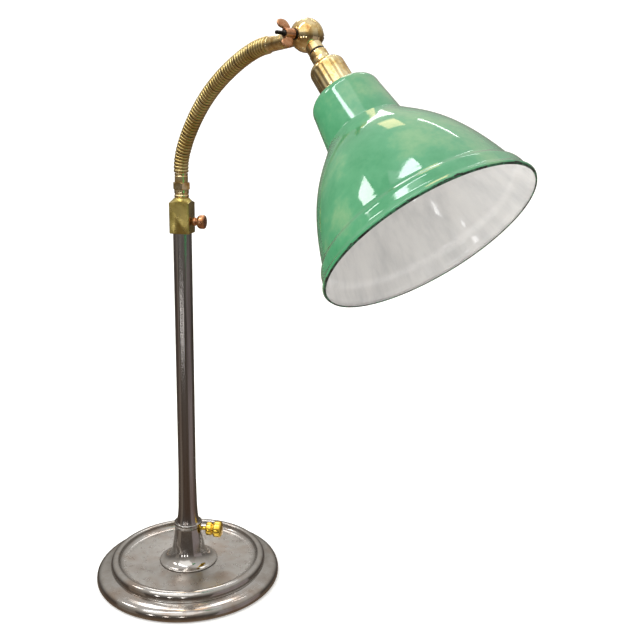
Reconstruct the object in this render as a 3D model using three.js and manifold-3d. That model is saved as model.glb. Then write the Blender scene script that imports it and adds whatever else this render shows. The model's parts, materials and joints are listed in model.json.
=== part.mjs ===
// Gooseneck desk lamp, in millimetres, +Z up.
// The origin is the centre of the base's rest face, and the arm reaches out along +X.
// Angles are in degrees where a name ends in Degrees.
import * as THREE from "three";
import { mergeVertices } from "three/addons/utils/BufferGeometryUtils.js";
import Module from "manifold-3d";

const wasm = await Module();
wasm.setup();

// Fits
const clearance = 0.3; // between two pieces that seat on each other or turn in each other
const overrun = 2; // how far a cut runs past the face that it opens

// Base: felt, cast weight and spun shell
// Radii of the shell's rings are steps in from the base's edge
const baseRadius = 101;
const feltThickness = 2;
const feltInset = 7;
const feltRadius = baseRadius - feltInset;
const shellWall = 1.2;
const shellFootHeight = 0.9;
const shellFootInset = 2.4;
const shellFootRadius = baseRadius - shellFootInset;
const flangeWaistHeight = 4.2; // where the flange is widest
const flangeShoulderInset = 8.5;
const flangeShoulderRadius = baseRadius - flangeShoulderInset;
const flangeShoulderHeight = 12.6;
const grooveInset = 16.4; // the dark line between flange and upper ring
const grooveRadius = baseRadius - grooveInset;
const grooveHeight = 14.4;
const ringInset = 15.4;
const ringRadius = baseRadius - ringInset;
const ringHeight = 16.4;
const rimInset = 21.4;
const rimRadius = baseRadius - rimInset;
const rimHeight = 24.2;
const rimInnerInset = 24.2;
const rimInnerRadius = baseRadius - rimInnerInset;
const rimInnerHeight = 22.6;
const dishEdgeInset = 32;
const dishEdgeRadius = baseRadius - dishEdgeInset;
const dishFloorHeight = 17.3;
const weightStepInset = 20;
const weightStepRadius = baseRadius - weightStepInset;
const weightStepHeight = 8.4;

// Neck casting and what clamps it to the base
const neckFootRadius = 32;
const neckToeHeight = 1.3; // thickness of the rounded toe
const neckToeInset = 1.4;
const neckConeRadius = 19.8; // where the flare meets the cone above it
const neckConeHeight = 26;
const neckRadius = 14.6;
const neckFlareHeight = 54; // where the cone ends
const collarRadius = 15.4;
const collarLength = 4;
const collarTopHeight = 63.8;
const collarLip = 1.9;
const collarRecess = 1.8;
const spigotRadius = 11.5;
const spigotBottomHeight = 7.6;
const lockNutAcross = 33; // across the flats
const lockNutHeight = 3.6;
const lockWasherRadius = 18.5;
const lockWasherThickness = 1;
const recessRadius = 23;
const stemSeatHeight = 29;

// Cord inlet at the back of the base, and the lamp's inner flex
const flexRadius = 2.3;
const flexBore = 3.3; // radius of every bore that guides the flex
const inletHeight = 4.9;
const inletRadius = 3.9;
const inletBore = 3.1;
const inletReach = 1.6; // how far the bush stands out of the shell
const channelWidth = 7.6;
const flexBend = 4; // radius of its bend into the spigot

// Stem
const stemRadius = 9.525;
const stemWall = 1.5;
const stemFlareRadius = collarRadius - collarLip - clearance;
const stemFlareWaist = 10.9; // radius that the flare's curve leans to
const stemFlareRise = 4.7;
const stemSwellRadius = 10.3; // where the flare gives way to the long swell above it
const stemFlareLength = 21.7;
const stemSwellLength = 38;
const stemGrooveDepth = 0.6;
const stemGrooveWidth = 5;

// Thumb screw in the neck
const neckScrewHeight = 55.4;
const neckScrewDegrees = 42; // round the stem, from the arm
const screwShankRadius = 2;
const neckScrewKnobStart = 20.6;
const neckScrewCollarRadius = 7.4;
const neckScrewCollarLength = 7;
const neckScrewWaist = 0.6;
const neckScrewFlare = 2.4; // from the waist to the knob
const neckScrewKnobRadius = 8.9;
const neckScrewKnobLength = 18;
const neckScrewDome = 1.8;

// Clamp block and its thumb screw
const blockBottomHeight = 386.5;
const blockHeight = 35.7;
const blockTopHeight = blockBottomHeight + blockHeight;
const blockSide = 20.8;
const blockDegrees = 37.6; // the screw's face, round the stem from the arm
const blockTurnedRadius = 7.8; // where the turned top starts
const blockTurnedDrop = 6.6;
const blockTurnedWaist = 4.4; // how far below the top its curve crosses the block's faces
const stemInsertion = 23.7; // how far the stem stands inside the block
const stemTopHeight = blockBottomHeight + stemInsertion;
const blockScrewRise = 11.9; // above the block's foot
const blockScrewHeight = blockBottomHeight + blockScrewRise;
const beadRadius = 4.3;
const beadLength = 4.6;
const blockScrewWaistRadius = 3.2;
const blockScrewWaistLength = 1.5;
const blockScrewHeadStart = 4.4;
const blockScrewHeadRadius = 7.3;
const blockScrewHeadLength = 5.7;
const blockScrewEdge = 1.5;
const blockScrewDome = 1;

// Union between the block and the gooseneck
const unionRadius = 7.4;
const unionLength = 8.1;
const unionTopHeight = blockTopHeight + clearance + unionLength;
const unionSpigotRadius = 6.6;
const unionSpigotLength = 3.2;
const nutCornerRadius = 9.3;
const nutLength = 6.9;
const nutTopHeight = unionTopHeight + clearance + nutLength;
const nutTopWall = 1.4;
const nutChamfer = 0.8;
const footFerruleRadius = 6.7;
const ferruleFlangeRadius = 7.2;
const ferruleFlangeThickness = 1.2;
const footFerruleReach = 9.8; // from the nut to the end of the ribs
const hoseFootHeight = nutTopHeight + footFerruleReach;

// Gooseneck: ribbed lengths, each an arc, with a small gap at each bend joint
const ribPitch = 3.56;
const ribsEach = 6;
const ribRadius = 7.5;
const ribGrooveRadius = 6.4;
const ribSides = 8;
const hoseBendDegrees = [24.9, 10.9, 6.2, 6.9, 6.9, 5.5, 4.6, 6.4, 11.9]; // bend of each length at rest
const jointGap = 0.5;
const seatRadius = 5.4; // of the ball at a length's end
const seatDegrees = 64; // from the centreline to the seat's middle ring
const hoseSpigotRadius = 5.3;
const hoseSpigotLength = 13;
const hoseStraight = 2; // plain run next to each ferrule
const tipFerruleRadius = 6.4;
const tipFerruleLength = 22;

// Ball knuckle: two half balls on one screw, clamped by a wing nut
const ballRadius = 13.8;
const ballReach = 49.6; // from the end of the ribs to the ball's centre
const ballPoleHeight = 13; // flat face under the washer
const tailRadius = 6.4;
const knuckleScrewRadius = 2.5;
const pocketInnerRadius = 4.8;
const pocketOuterRadius = 10;
const pocketDepth = 7.6;
const screwHeadRadius = 4.4;
const screwHeadThickness = 2.4;
const screwSlotWidth = 1.1;
const screwSlotDepth = 1;
const screwTipReach = 32.9; // from the ball's centre to the screw's free end
const washerThickness = 1.1;
const washerRadius = 4.5;
const hubRadius = 4.2;
const hubLength = 9.4;
const wingReach = 12;
const wingThickness = 2.4;
const wingRootRise = 1.4; // from the hub's seat to the wing's root
const wingMidRise = 8.6;
const wingTopRise = 14.4;
const wingTopWidth = 7.4;
const wingDegrees = 112;

// Head: everything on the shade's axis, by its distance from the ball's centre
const headTiltDegrees = 43; // of the shade's axis, outwards from straight down
const headNeckRadius = 7;
const headNeckEnd = 18.4;
const fibreRadius = 6.9;
const fibreThickness = 1.2;
const neckCollarRadius = 7.5;
const neckCollarGroove = 0.6;
const capTop = 32;
const capWall = 1.2;
const collarFlangeRadius = 9.4;
const collarFlangeThickness = 1.5;
const capRadius = 14.9;
const capShoulder = 38;
const capLipStart = 60.2;
const capLipRadius = 15.4;
const capBottom = 64;
const fluteDepth = 0.7;
const fluteCount = 20;
const barrelRadius = 13.6;
const barrelWall = 2;
const barrelTop = 51;
const barrelBottom = 90;
const insulatorTop = 40;
const insulatorPlugEnd = 60;
const plungerRadius = 2;
const plungerSpacing = 9.6; // between the two contact plungers
const plungerTop = 54.5;
const plungerTip = 63.5;
const plungerPip = 0.8;
const bayonetSlotWidth = 3;
const bayonetSlotDepth = 17.5;
const bayonetLockDegrees = 22;
const shadeRingRadius = 18.8;
const shadeRingLength = 5.4;

// Bulb with a bayonet cap
const bulbCapRadius = 11;
const bulbCapWall = 0.8;
const bulbCapEnd = 88.5;
const bulbPinRadius = 1;
const bulbPinReach = 12.9;
const bulbNeckRadius = 9.6;
const bulbNeckStart = 72;
const bulbRadius = 29.5;
const bulbWidest = 133;
const bulbTip = 161;
const glassWall = 0.9;

// Shade, measured back from its rim along the axis
const rimDistance = 207.6; // from the ball's centre to the rim
const shadeWall = 1.1;
const shadeRimRadius = 87.4;
const rimBeadRadius = 88.9;
const rimBeadRise = 2.4;
const bandRadius = 86.4;
const bandRise = 5.4;
const bandTopRadius = 84.2;
const bandTopRise = 14.4;
const bellFootRadius = 80.4;
const bellFootRise = 18.4;
const bellWaistRadius = 64.5;
const bellWaistRise = 60.5;
const bellShoulderRadius = 48.4;
const bellShoulderRise = 84.7;
const shadeNeckFootRadius = 33.4;
const shadeNeckFootRise = 102.4;
const shadeNeckRadius = 29.2;
const shadeNeckTopRise = 135;
const shadeTopRadius = 20;

// How round things are, as counts of sides and steps
const wideSides = 32;
const middleSides = 24;
const smallSides = 16;
const flexSides = 8;
const curveSteps = 3;
const baseFlexSteps = 18;
const bayonetSteps = 2; // cuts that sweep out each lock slot
const bellFullness = 0.06; // how far the bell's curve swells, as a share of its rise

const metal = (color, roughness) =>
  new THREE.MeshStandardMaterial({ color, roughness, metalness: 1 });
const dull = (color, roughness) =>
  new THREE.MeshStandardMaterial({ color, roughness, metalness: 0 });

const polishedBrass = metal(0xd2a850, 0.16);
const yellowBrass = metal(0xdca62c, 0.14);
const copperBrown = metal(0xa8673c, 0.3);
const polishedSteel = metal(0x9a9794, 0.18);
const darkSteel = metal(0x4a4644, 0.35);
const castIron = metal(0x3a3838, 0.7);
const greenEnamel = dull(0x3f9a63, 0.12);
const fibre = dull(0x1c1712, 0.6);
const porcelain = dull(0xeeeae0, 0.25);
const felt = dull(0x2f4436, 0.95);
const rubber = dull(0x1d1c1b, 0.7);
const flexSheath = dull(0x6a4a26, 0.8);
const glass = dull(0xf3f1ea, 0.1);

const radians = (degrees) => THREE.MathUtils.degToRad(degrees);
const half = (length) => length / 2;
const point = (radius, height) => new THREE.Vector2(radius, height);
const closed = (outline) => [...outline, outline[0].clone()];

// The outline moved to its left by a distance, with its corners mitred.
function offsetOutline(outline, distance) {
  const last = outline.length - 1;
  return outline.map((corner, i) => {
    const arriving = outline[Math.max(i, 1)].clone().sub(outline[Math.max(i, 1) - 1]).normalize();
    const next = Math.min(i, last - 1);
    const leaving = outline[next + 1].clone().sub(outline[next]).normalize();
    const normal = new THREE.Vector2(-arriving.y, arriving.x);
    const miter = new THREE.Vector2(-leaving.y, leaving.x).add(normal).normalize();
    return corner.clone().addScaledVector(miter, distance / miter.dot(normal));
  });
}

// A turned shell: the outside outline and the same outline inside its wall.
function shellOutline(outside, wall) {
  return closed([...outside, ...offsetOutline(outside, wall).reverse()]);
}

// A turned body round +Z. Its outline runs up the outside and back down the inside or along the axis.
function turned(outline, sides) {
  return new THREE.LatheGeometry(outline, sides).rotateX(radians(90));
}

// A turned tube or disc with a bore.
function ring(outer, bore, from, to, sides) {
  return turned(closed([point(bore, from), point(outer, from), point(outer, to), point(bore, to)]), sides);
}

// A plain round bar along +Z.
function bar(radius, from, to, sides) {
  return turned([point(0, from), point(radius, from), point(radius, to), point(0, to)], sides);
}

// A block centred on its place in X and Y, between two heights.
function slab(width, depth, from, to, x = 0, y = 0) {
  return new THREE.BoxGeometry(width, depth, to - from).translate(x, y, half(from + to));
}

// One closed solid from rings of points, each ring joined to the next and the last to the first.
function lofted(rings) {
  const sides = rings[0].length;
  const corners = [];
  rings.forEach((here, i) => {
    const next = rings[(i + 1) % rings.length];
    for (let k = 0; k < sides; k += 1) {
      const beside = (k + 1) % sides;
      corners.push(here[k], here[beside], next[beside]);
      corners.push(here[k], next[beside], next[k]);
    }
  });
  const geometry = new THREE.BufferGeometry().setFromPoints(corners);
  geometry.computeVertexNormals();
  return geometry;
}

// A geometry as a solid that can be joined and cut.
function solid(geometry) {
  const plain = geometry.clone();
  plain.deleteAttribute("normal");
  plain.deleteAttribute("uv");
  const merged = mergeVertices(plain);
  const index = merged.index.array;
  const faces = [];
  for (let i = 0; i < index.length; i += 3) {
    const [a, b, c] = [index[i], index[i + 1], index[i + 2]];
    if (a !== b && b !== c && c !== a) faces.push(a, b, c);
  }
  return new wasm.Manifold(
    new wasm.Mesh({
      numProp: 3,
      vertProperties: merged.attributes.position.array,
      triVerts: new Uint32Array(faces),
    }),
  );
}

// The geometry of a joined or cut solid.
function geometryOf(body) {
  const mesh = body.getMesh();
  const geometry = new THREE.BufferGeometry();
  geometry.setAttribute("position", new THREE.BufferAttribute(mesh.vertProperties, mesh.numProp));
  geometry.setIndex(new THREE.BufferAttribute(mesh.triVerts, 1));
  geometry.computeVertexNormals();
  return geometry;
}

const cut = (body, ...tools) =>
  geometryOf(tools.reduce((left, tool) => left.subtract(solid(tool)), solid(body)));
const join = (...bodies) => geometryOf(bodies.map(solid).reduce((all, body) => all.add(body)));

const lamp = new THREE.Group();

function piece(name, geometry, material, frame = lamp) {
  const mesh = new THREE.Mesh(geometry, material);
  mesh.name = name;
  frame.add(mesh);
  return mesh;
}

// A frame whose +Z points out sideways from the stem, at a height and a turn round the stem.
function sideFrame(height, degrees) {
  const frame = new THREE.Group();
  frame.position.z = height;
  frame.rotation.set(0, radians(90), radians(degrees), "ZYX");
  lamp.add(frame);
  return frame;
}

// The same turn for a cutting tool, which has no frame of its own.
function sideways(geometry, height, degrees) {
  return geometry.rotateY(radians(90)).rotateZ(radians(degrees)).translate(0, 0, height);
}

// Base

const feltTop = feltThickness;
const weightBottom = feltTop + clearance;
const weightTop = dishFloorHeight - shellWall - clearance;
const spigotHole = spigotRadius + clearance;
const lockNutBottom = spigotBottomHeight + clearance;
const lockNutTop = lockNutBottom + lockNutHeight;
const lockWasherTop = lockNutTop + clearance + lockWasherThickness;
const recessTop = lockWasherTop + clearance;
const inletStart = feltRadius + clearance;
const inletEnd = baseRadius + inletReach;
const screwHole = screwShankRadius + clearance;

function shellOutside() {
  const path = new THREE.Path();
  path.moveTo(shellFootRadius, shellFootHeight);
  path.quadraticCurveTo(baseRadius, shellFootHeight, baseRadius, flangeWaistHeight);
  path.quadraticCurveTo(baseRadius, flangeShoulderHeight, flangeShoulderRadius, flangeShoulderHeight);
  path.lineTo(grooveRadius, grooveHeight);
  path.lineTo(ringRadius, ringHeight);
  path.quadraticCurveTo(ringRadius, rimHeight, rimRadius, rimHeight);
  path.quadraticCurveTo(rimInnerRadius, rimHeight, rimInnerRadius, rimInnerHeight);
  path.quadraticCurveTo(rimInnerRadius, dishFloorHeight, dishEdgeRadius, dishFloorHeight);
  path.lineTo(spigotHole, dishFloorHeight);
  return path.getPoints(curveSteps);
}

function baseShell() {
  const shell = turned(shellOutline(shellOutside(), shellWall), wideSides);
  const holeRadius = inletRadius + clearance;
  const hole = sideways(bar(holeRadius, inletStart, inletEnd, smallSides), inletHeight, 180);
  const notch = slab(inletEnd - inletStart, 2 * holeRadius, 0, inletHeight, -half(inletStart + inletEnd));
  return cut(shell, join(hole, notch));
}

function baseWeight() {
  const outline = closed([
    point(recessRadius, weightBottom),
    point(feltRadius, weightBottom),
    point(feltRadius, weightStepHeight),
    point(weightStepRadius, weightStepHeight),
    point(weightStepRadius, weightTop),
    point(spigotHole, weightTop),
    point(spigotHole, recessTop),
    point(recessRadius, recessTop),
  ]);
  const channelLength = feltRadius + overrun - (recessRadius - overrun);
  const channelMiddle = -(recessRadius - overrun + half(channelLength));
  const channel = slab(
    channelLength,
    channelWidth,
    weightBottom - overrun,
    inletHeight + half(channelWidth),
    channelMiddle,
  );
  return cut(turned(outline, wideSides), channel);
}

piece("base_shell", baseShell(), polishedSteel);
piece("base_weight", baseWeight(), castIron);
piece("base_felt", bar(feltRadius, 0, feltTop, wideSides), felt);

// Neck casting with its threaded spigot, washer and lock nut

const neckBottom = dishFloorHeight + clearance;
const neckToeTop = neckBottom + neckToeHeight;
const collarBottom = collarTopHeight - collarLength;
const collarBore = collarRadius - collarLip;
const collarFloor = collarTopHeight - collarRecess;
const stemBoreRadius = stemRadius + clearance;

function neckCasting() {
  const path = new THREE.Path();
  path.moveTo(spigotRadius, spigotBottomHeight);
  path.lineTo(spigotRadius, neckBottom);
  path.lineTo(neckFootRadius, neckBottom);
  path.quadraticCurveTo(neckFootRadius, neckToeTop, neckFootRadius - neckToeInset, neckToeTop);
  path.quadraticCurveTo(neckConeRadius + neckToeInset, neckToeTop, neckConeRadius, neckConeHeight);
  path.lineTo(neckRadius, neckFlareHeight);
  path.lineTo(neckRadius, collarBottom);
  path.quadraticCurveTo(collarRadius, collarBottom, collarRadius, half(collarBottom + collarTopHeight));
  path.quadraticCurveTo(collarRadius, collarTopHeight, half(collarRadius + collarBore), collarTopHeight);
  path.lineTo(collarBore, collarFloor);
  path.lineTo(stemBoreRadius, collarFloor);
  path.lineTo(stemBoreRadius, stemSeatHeight);
  path.lineTo(flexBore, stemSeatHeight);
  path.lineTo(flexBore, spigotBottomHeight);
  const hole = bar(screwHole, half(stemRadius), collarRadius + overrun, smallSides);
  const casting = turned(closed(path.getPoints(curveSteps)), middleSides);
  return cut(casting, sideways(hole, neckScrewHeight, neckScrewDegrees));
}

function hexagonalNut(cornerRadius, bore, from, to) {
  const prism = new THREE.CylinderGeometry(cornerRadius, cornerRadius, to - from, 6);
  prism.rotateX(radians(90)).translate(0, 0, half(from + to));
  return cut(prism, bar(bore, from - overrun, to + overrun, middleSides));
}

const lockNutCorner = half(lockNutAcross) / Math.cos(radians(30));

piece("neck_casting", neckCasting(), polishedSteel);
piece(
  "neck_washer",
  ring(lockWasherRadius, spigotHole, lockNutTop + clearance, lockWasherTop, middleSides),
  darkSteel,
);
piece("neck_lock_nut", hexagonalNut(lockNutCorner, spigotHole, lockNutBottom, lockNutTop), darkSteel);

// Cord inlet bush at the back, and the flex from it to the neck

function roundSection(radius, sides) {
  const corners = Array.from({ length: sides }, (_, k) => {
    const turn = (2 * Math.PI * k) / sides;
    return point(radius * Math.cos(turn), radius * Math.sin(turn));
  });
  return new THREE.Shape(corners);
}

// The flex along a curve, as a closed tube with flat ends.
function flexAlong(curve, steps) {
  return new THREE.ExtrudeGeometry(roundSection(flexRadius, flexSides), {
    steps,
    extrudePath: curve,
    bevelEnabled: false,
  });
}

const place = (x, z) => new THREE.Vector3(x, 0, z);

function baseFlexRoute() {
  const start = inletStart - clearance;
  const route = new THREE.CurvePath();
  route.add(new THREE.LineCurve3(place(-start, inletHeight), place(-flexBend, inletHeight)));
  route.add(
    new THREE.QuadraticBezierCurve3(
      place(-flexBend, inletHeight),
      place(0, inletHeight),
      place(0, inletHeight + flexBend),
    ),
  );
  route.add(
    new THREE.LineCurve3(place(0, inletHeight + flexBend), place(0, stemSeatHeight - clearance)),
  );
  return route;
}

piece(
  "cord_inlet_bush",
  ring(inletRadius, inletBore, inletStart, inletEnd, smallSides),
  rubber,
  sideFrame(inletHeight, 180),
);
piece("base_flex", flexAlong(baseFlexRoute(), baseFlexSteps), flexSheath);

// Stem with its flared foot and the groove that the neck's thumb screw enters

const stemBottom = stemSeatHeight + clearance;
const stemBore = stemRadius - stemWall;
const flareBottom = collarFloor + clearance;
const stemGrooveRadius = stemRadius - stemGrooveDepth;
const stemGrooveLow = neckScrewHeight - half(stemGrooveWidth);
const stemGrooveHigh = neckScrewHeight + half(stemGrooveWidth);

function stemTube() {
  const path = new THREE.Path();
  path.moveTo(stemBore, stemBottom);
  path.lineTo(stemRadius, stemBottom);
  path.lineTo(stemRadius, stemGrooveLow);
  path.lineTo(stemGrooveRadius, stemGrooveLow);
  path.lineTo(stemGrooveRadius, stemGrooveHigh);
  path.lineTo(stemRadius, stemGrooveHigh);
  path.lineTo(stemRadius, flareBottom);
  path.lineTo(stemFlareRadius, flareBottom);
  path.quadraticCurveTo(
    stemFlareWaist,
    flareBottom + stemFlareRise,
    stemSwellRadius,
    flareBottom + stemFlareLength,
  );
  path.lineTo(stemRadius, flareBottom + stemFlareLength + stemSwellLength);
  path.lineTo(stemRadius, stemTopHeight);
  path.lineTo(stemBore, stemTopHeight);
  return turned(closed(path.getPoints(curveSteps)), middleSides);
}

piece("stem_tube", stemTube(), polishedSteel);
piece("stem_flex", bar(flexRadius, stemSeatHeight, stemTopHeight, flexSides), flexSheath);

// Thumb screw in the neck, turned in bright brass

function neckThumbScrew() {
  const tip = stemFlareRadius + clearance;
  const collarEnd = neckScrewKnobStart + neckScrewCollarLength;
  const knobEnd = neckScrewKnobStart + neckScrewKnobLength;
  const path = new THREE.Path();
  path.moveTo(0, tip);
  path.lineTo(screwShankRadius, tip);
  path.lineTo(screwShankRadius, neckScrewKnobStart);
  path.lineTo(neckScrewCollarRadius, neckScrewKnobStart);
  path.lineTo(neckScrewCollarRadius, collarEnd);
  path.lineTo(neckScrewCollarRadius - neckScrewWaist, collarEnd + neckScrewWaist);
  path.lineTo(neckScrewKnobRadius, collarEnd + neckScrewWaist + neckScrewFlare);
  path.lineTo(neckScrewKnobRadius, knobEnd - neckScrewDome);
  path.quadraticCurveTo(neckScrewKnobRadius, knobEnd, 0, knobEnd);
  return turned(path.getPoints(curveSteps), smallSides);
}

piece("base_thumb_screw", neckThumbScrew(), yellowBrass, sideFrame(neckScrewHeight, neckScrewDegrees));

// Clamp block on the stem's top, square with a turned top, and its thumb screw

function clampBlock() {
  const cornerRadius = half(blockSide) * Math.SQRT2 + clearance;
  const path = new THREE.Path();
  path.moveTo(0, blockBottomHeight);
  path.lineTo(cornerRadius, blockBottomHeight);
  path.lineTo(cornerRadius, blockTopHeight - blockTurnedDrop);
  path.quadraticCurveTo(
    half(blockSide),
    blockTopHeight - blockTurnedWaist,
    blockTurnedRadius,
    blockTopHeight,
  );
  path.lineTo(0, blockTopHeight);
  const square = slab(blockSide, blockSide, blockBottomHeight, blockTopHeight);
  const top = turned(path.getPoints(curveSteps), middleSides);
  const turnedSquare = geometryOf(solid(square.rotateZ(radians(blockDegrees))).intersect(solid(top)));
  const socket = bar(stemBoreRadius, blockBottomHeight - overrun, stemTopHeight + clearance, middleSides);
  const flexHole = bar(flexBore, stemTopHeight, blockTopHeight + overrun, smallSides);
  const hole = bar(screwHole, half(stemRadius), blockSide, smallSides);
  return cut(turnedSquare, socket, flexHole, sideways(hole, blockScrewHeight, blockDegrees));
}

function blockThumbScrew() {
  const beadStart = half(blockSide) + clearance;
  const beadEnd = beadStart + beadLength;
  const headStart = beadEnd + blockScrewWaistLength;
  const headEdge = headStart + blockScrewHeadLength;
  const path = new THREE.Path();
  path.moveTo(0, stemRadius + clearance);
  path.lineTo(screwShankRadius, stemRadius + clearance);
  path.lineTo(screwShankRadius, beadStart);
  path.quadraticCurveTo(beadRadius, beadStart, beadRadius, half(beadStart + beadEnd));
  path.quadraticCurveTo(beadRadius, beadEnd, blockScrewWaistRadius, beadEnd);
  path.lineTo(blockScrewWaistRadius, headStart);
  path.lineTo(blockScrewHeadStart, headStart);
  path.quadraticCurveTo(blockScrewHeadStart, headEdge, blockScrewHeadRadius, headEdge);
  path.lineTo(blockScrewHeadRadius, headEdge + blockScrewEdge);
  path.quadraticCurveTo(blockScrewHeadRadius, headEdge + blockScrewEdge + blockScrewDome, 0,
    headEdge + blockScrewEdge + blockScrewDome);
  return turned(path.getPoints(curveSteps), smallSides);
}

piece("clamp_block", clampBlock(), polishedBrass);
piece("block_thumb_screw", blockThumbScrew(), copperBrown, sideFrame(blockScrewHeight, blockDegrees));

// Union: turned body, nut and the ferrule that the gooseneck starts in

const unionBottom = blockTopHeight + clearance;
const unionSpigotTop = unionTopHeight + unionSpigotLength;
const nutBottom = unionTopHeight + clearance;
const nutCavityTop = nutTopHeight - nutTopWall;
const ferruleBottom = unionSpigotTop + clearance;
const ferruleBore = hoseSpigotRadius + clearance;

function unionNut() {
  const prism = new THREE.CylinderGeometry(nutCornerRadius, nutCornerRadius, nutTopHeight - nutBottom, 6);
  prism.rotateX(radians(90)).translate(0, 0, half(nutTopHeight + nutBottom));
  const chamfered = turned(
    [
      point(0, nutBottom),
      point(nutCornerRadius - nutChamfer, nutBottom),
      point(nutCornerRadius, nutBottom + nutChamfer),
      point(nutCornerRadius, nutTopHeight - nutChamfer),
      point(nutCornerRadius - nutChamfer, nutTopHeight),
      point(0, nutTopHeight),
    ],
    middleSides,
  );
  const cavity = bar(ferruleFlangeRadius + clearance, nutBottom - overrun, nutCavityTop, middleSides);
  const mouth = bar(
    footFerruleRadius + clearance,
    nutCavityTop - overrun,
    nutTopHeight + overrun,
    middleSides,
  );
  const blank = geometryOf(solid(prism).intersect(solid(chamfered)));
  return cut(blank, cavity, mouth);
}

piece(
  "union_body",
  turned(
    closed([
      point(flexBore, unionBottom),
      point(unionRadius, unionBottom),
      point(unionRadius, unionTopHeight),
      point(unionSpigotRadius, unionTopHeight),
      point(unionSpigotRadius, unionSpigotTop),
      point(flexBore, unionSpigotTop),
    ]),
    middleSides,
  ),
  polishedBrass,
);
piece("union_nut", unionNut(), polishedBrass);
piece(
  "hose_foot_ferrule",
  turned(
    closed([
      point(ferruleBore, ferruleBottom),
      point(ferruleFlangeRadius, ferruleBottom),
      point(ferruleFlangeRadius, ferruleBottom + ferruleFlangeThickness),
      point(footFerruleRadius, ferruleBottom + ferruleFlangeThickness),
      point(footFerruleRadius, hoseFootHeight - clearance),
      point(ferruleBore, hoseFootHeight - clearance),
    ]),
    middleSides,
  ),
  polishedBrass,
);
const footFlexTop = hoseFootHeight - hoseSpigotLength - clearance;
piece("foot_flex", bar(flexRadius, stemTopHeight + clearance, footFlexTop, flexSides), flexSheath);

// Gooseneck: one centreline of arcs, cut into lengths that bend against each other

const hoseCount = hoseBendDegrees.length;
const lengthEach = ribPitch * ribsEach;
const hoseLength = lengthEach * hoseCount;

// Runs of the centreline as arcs, each a length and the angle that it turns through.
const hoseRuns = [
  [hoseStraight, 0],
  ...hoseBendDegrees.map((degrees, i) => {
    const ends = i === 0 || i === hoseCount - 1 ? hoseStraight : 0;
    return [lengthEach - ends, radians(degrees)];
  }),
];

// The place and the angle from upright of the centreline at a distance along it.
function hoseAt(distance) {
  let [x, z, angle, left] = [0, hoseFootHeight, 0, distance];
  for (const [length, turn] of hoseRuns) {
    const run = Math.min(left, length);
    if (run <= 0) break;
    const bend = (turn * run) / length;
    const chord = bend === 0 ? run : (2 * length * Math.sin(half(bend))) / turn;
    x += chord * Math.sin(angle + half(bend));
    z += chord * Math.cos(angle + half(bend));
    angle += bend;
    left -= run;
  }
  return { x: x + left * Math.sin(angle), z: z + left * Math.cos(angle), angle };
}

function ringAcross(x, z, angle, radius) {
  return Array.from({ length: ribSides }, (_, k) => {
    const turn = (2 * Math.PI * k) / ribSides;
    const across = radius * Math.cos(turn);
    return new THREE.Vector3(
      x + across * Math.cos(angle),
      radius * Math.sin(turn),
      z - across * Math.sin(angle),
    );
  });
}

function hoseRing(distance, radius) {
  const { x, z, angle } = hoseAt(distance);
  return ringAcross(x, z, angle, radius);
}

// A ring on the ball or the socket that joins two lengths. Both are centred on their hinge.
function seatRing(boundary, radius, turn) {
  const { x, z, angle } = hoseAt(boundary);
  const ahead = radius * Math.cos(turn);
  const across = radius * Math.sin(turn);
  return ringAcross(x + ahead * Math.sin(angle), z + ahead * Math.cos(angle), angle, across);
}

// One ribbed length with its bore. It ends in a ball that the next length's socket takes. The first
// and the last carry a plain spigot for their ferrule.
function hosePiece(index) {
  const from = index * lengthEach;
  const to = from + lengthEach;
  const ribs = [];
  for (let rib = 0; rib < ribsEach; rib += 1) {
    if (rib > 0) ribs.push(hoseRing(from + rib * ribPitch, ribGrooveRadius));
    ribs.push(hoseRing(from + rib * ribPitch + half(ribPitch), ribRadius));
  }
  const socketRadius = seatRadius + jointGap;
  const lip = Math.acos(jointGap / socketRadius);
  const start =
    index === 0
      ? {
          outside: [
            hoseRing(from - hoseSpigotLength, hoseSpigotRadius),
            hoseRing(from, hoseSpigotRadius),
            hoseRing(from, ribGrooveRadius),
          ],
          inside: [hoseRing(from - hoseSpigotLength, flexBore)],
        }
      : {
          outside: [hoseRing(from + jointGap, ribGrooveRadius)],
          inside: [
            seatRing(from, socketRadius, Math.asin(flexBore / socketRadius)),
            seatRing(from, socketRadius, radians(seatDegrees)),
            seatRing(from, socketRadius, lip),
          ],
        };
  const end =
    index === hoseCount - 1
      ? {
          outside: [
            hoseRing(to, ribGrooveRadius),
            hoseRing(to, hoseSpigotRadius),
            hoseRing(to + hoseSpigotLength, hoseSpigotRadius),
          ],
          inside: [hoseRing(to + hoseSpigotLength, flexBore)],
        }
      : {
          outside: [
            seatRing(to, seatRadius, Math.PI - lip),
            seatRing(to, seatRadius, radians(seatDegrees)),
          ],
          inside: [seatRing(to, seatRadius, Math.asin(flexBore / seatRadius))],
        };
  const middle = hoseRing(half(from + to), flexBore);
  return lofted([...start.outside, ...ribs, ...end.outside, ...end.inside, middle, ...start.inside]);
}

// The centreline as a curve between two distances.
class HoseCurve extends THREE.Curve {
  constructor(from, to) {
    super();
    this.from = from;
    this.to = to;
  }

  getPoint(share, target = new THREE.Vector3()) {
    const { x, z } = hoseAt(this.from + (this.to - this.from) * share);
    return target.set(x, 0, z);
  }
}

const swingRadius = ballRadius + clearance; // clear of the ball as its halves turn
const flexTailEnd = hoseLength + ballReach - swingRadius - clearance;

for (let i = 0; i < hoseCount; i += 1) {
  const start = i === 0 ? -hoseSpigotLength : i * lengthEach + half(jointGap);
  const end = i === hoseCount - 1 ? flexTailEnd : (i + 1) * lengthEach - half(jointGap);
  piece(`hose_${i + 1}`, hosePiece(i), polishedBrass);
  piece(`flex_${i + 1}`, flexAlong(new HoseCurve(start, end), curveSteps), flexSheath);
}

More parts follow.
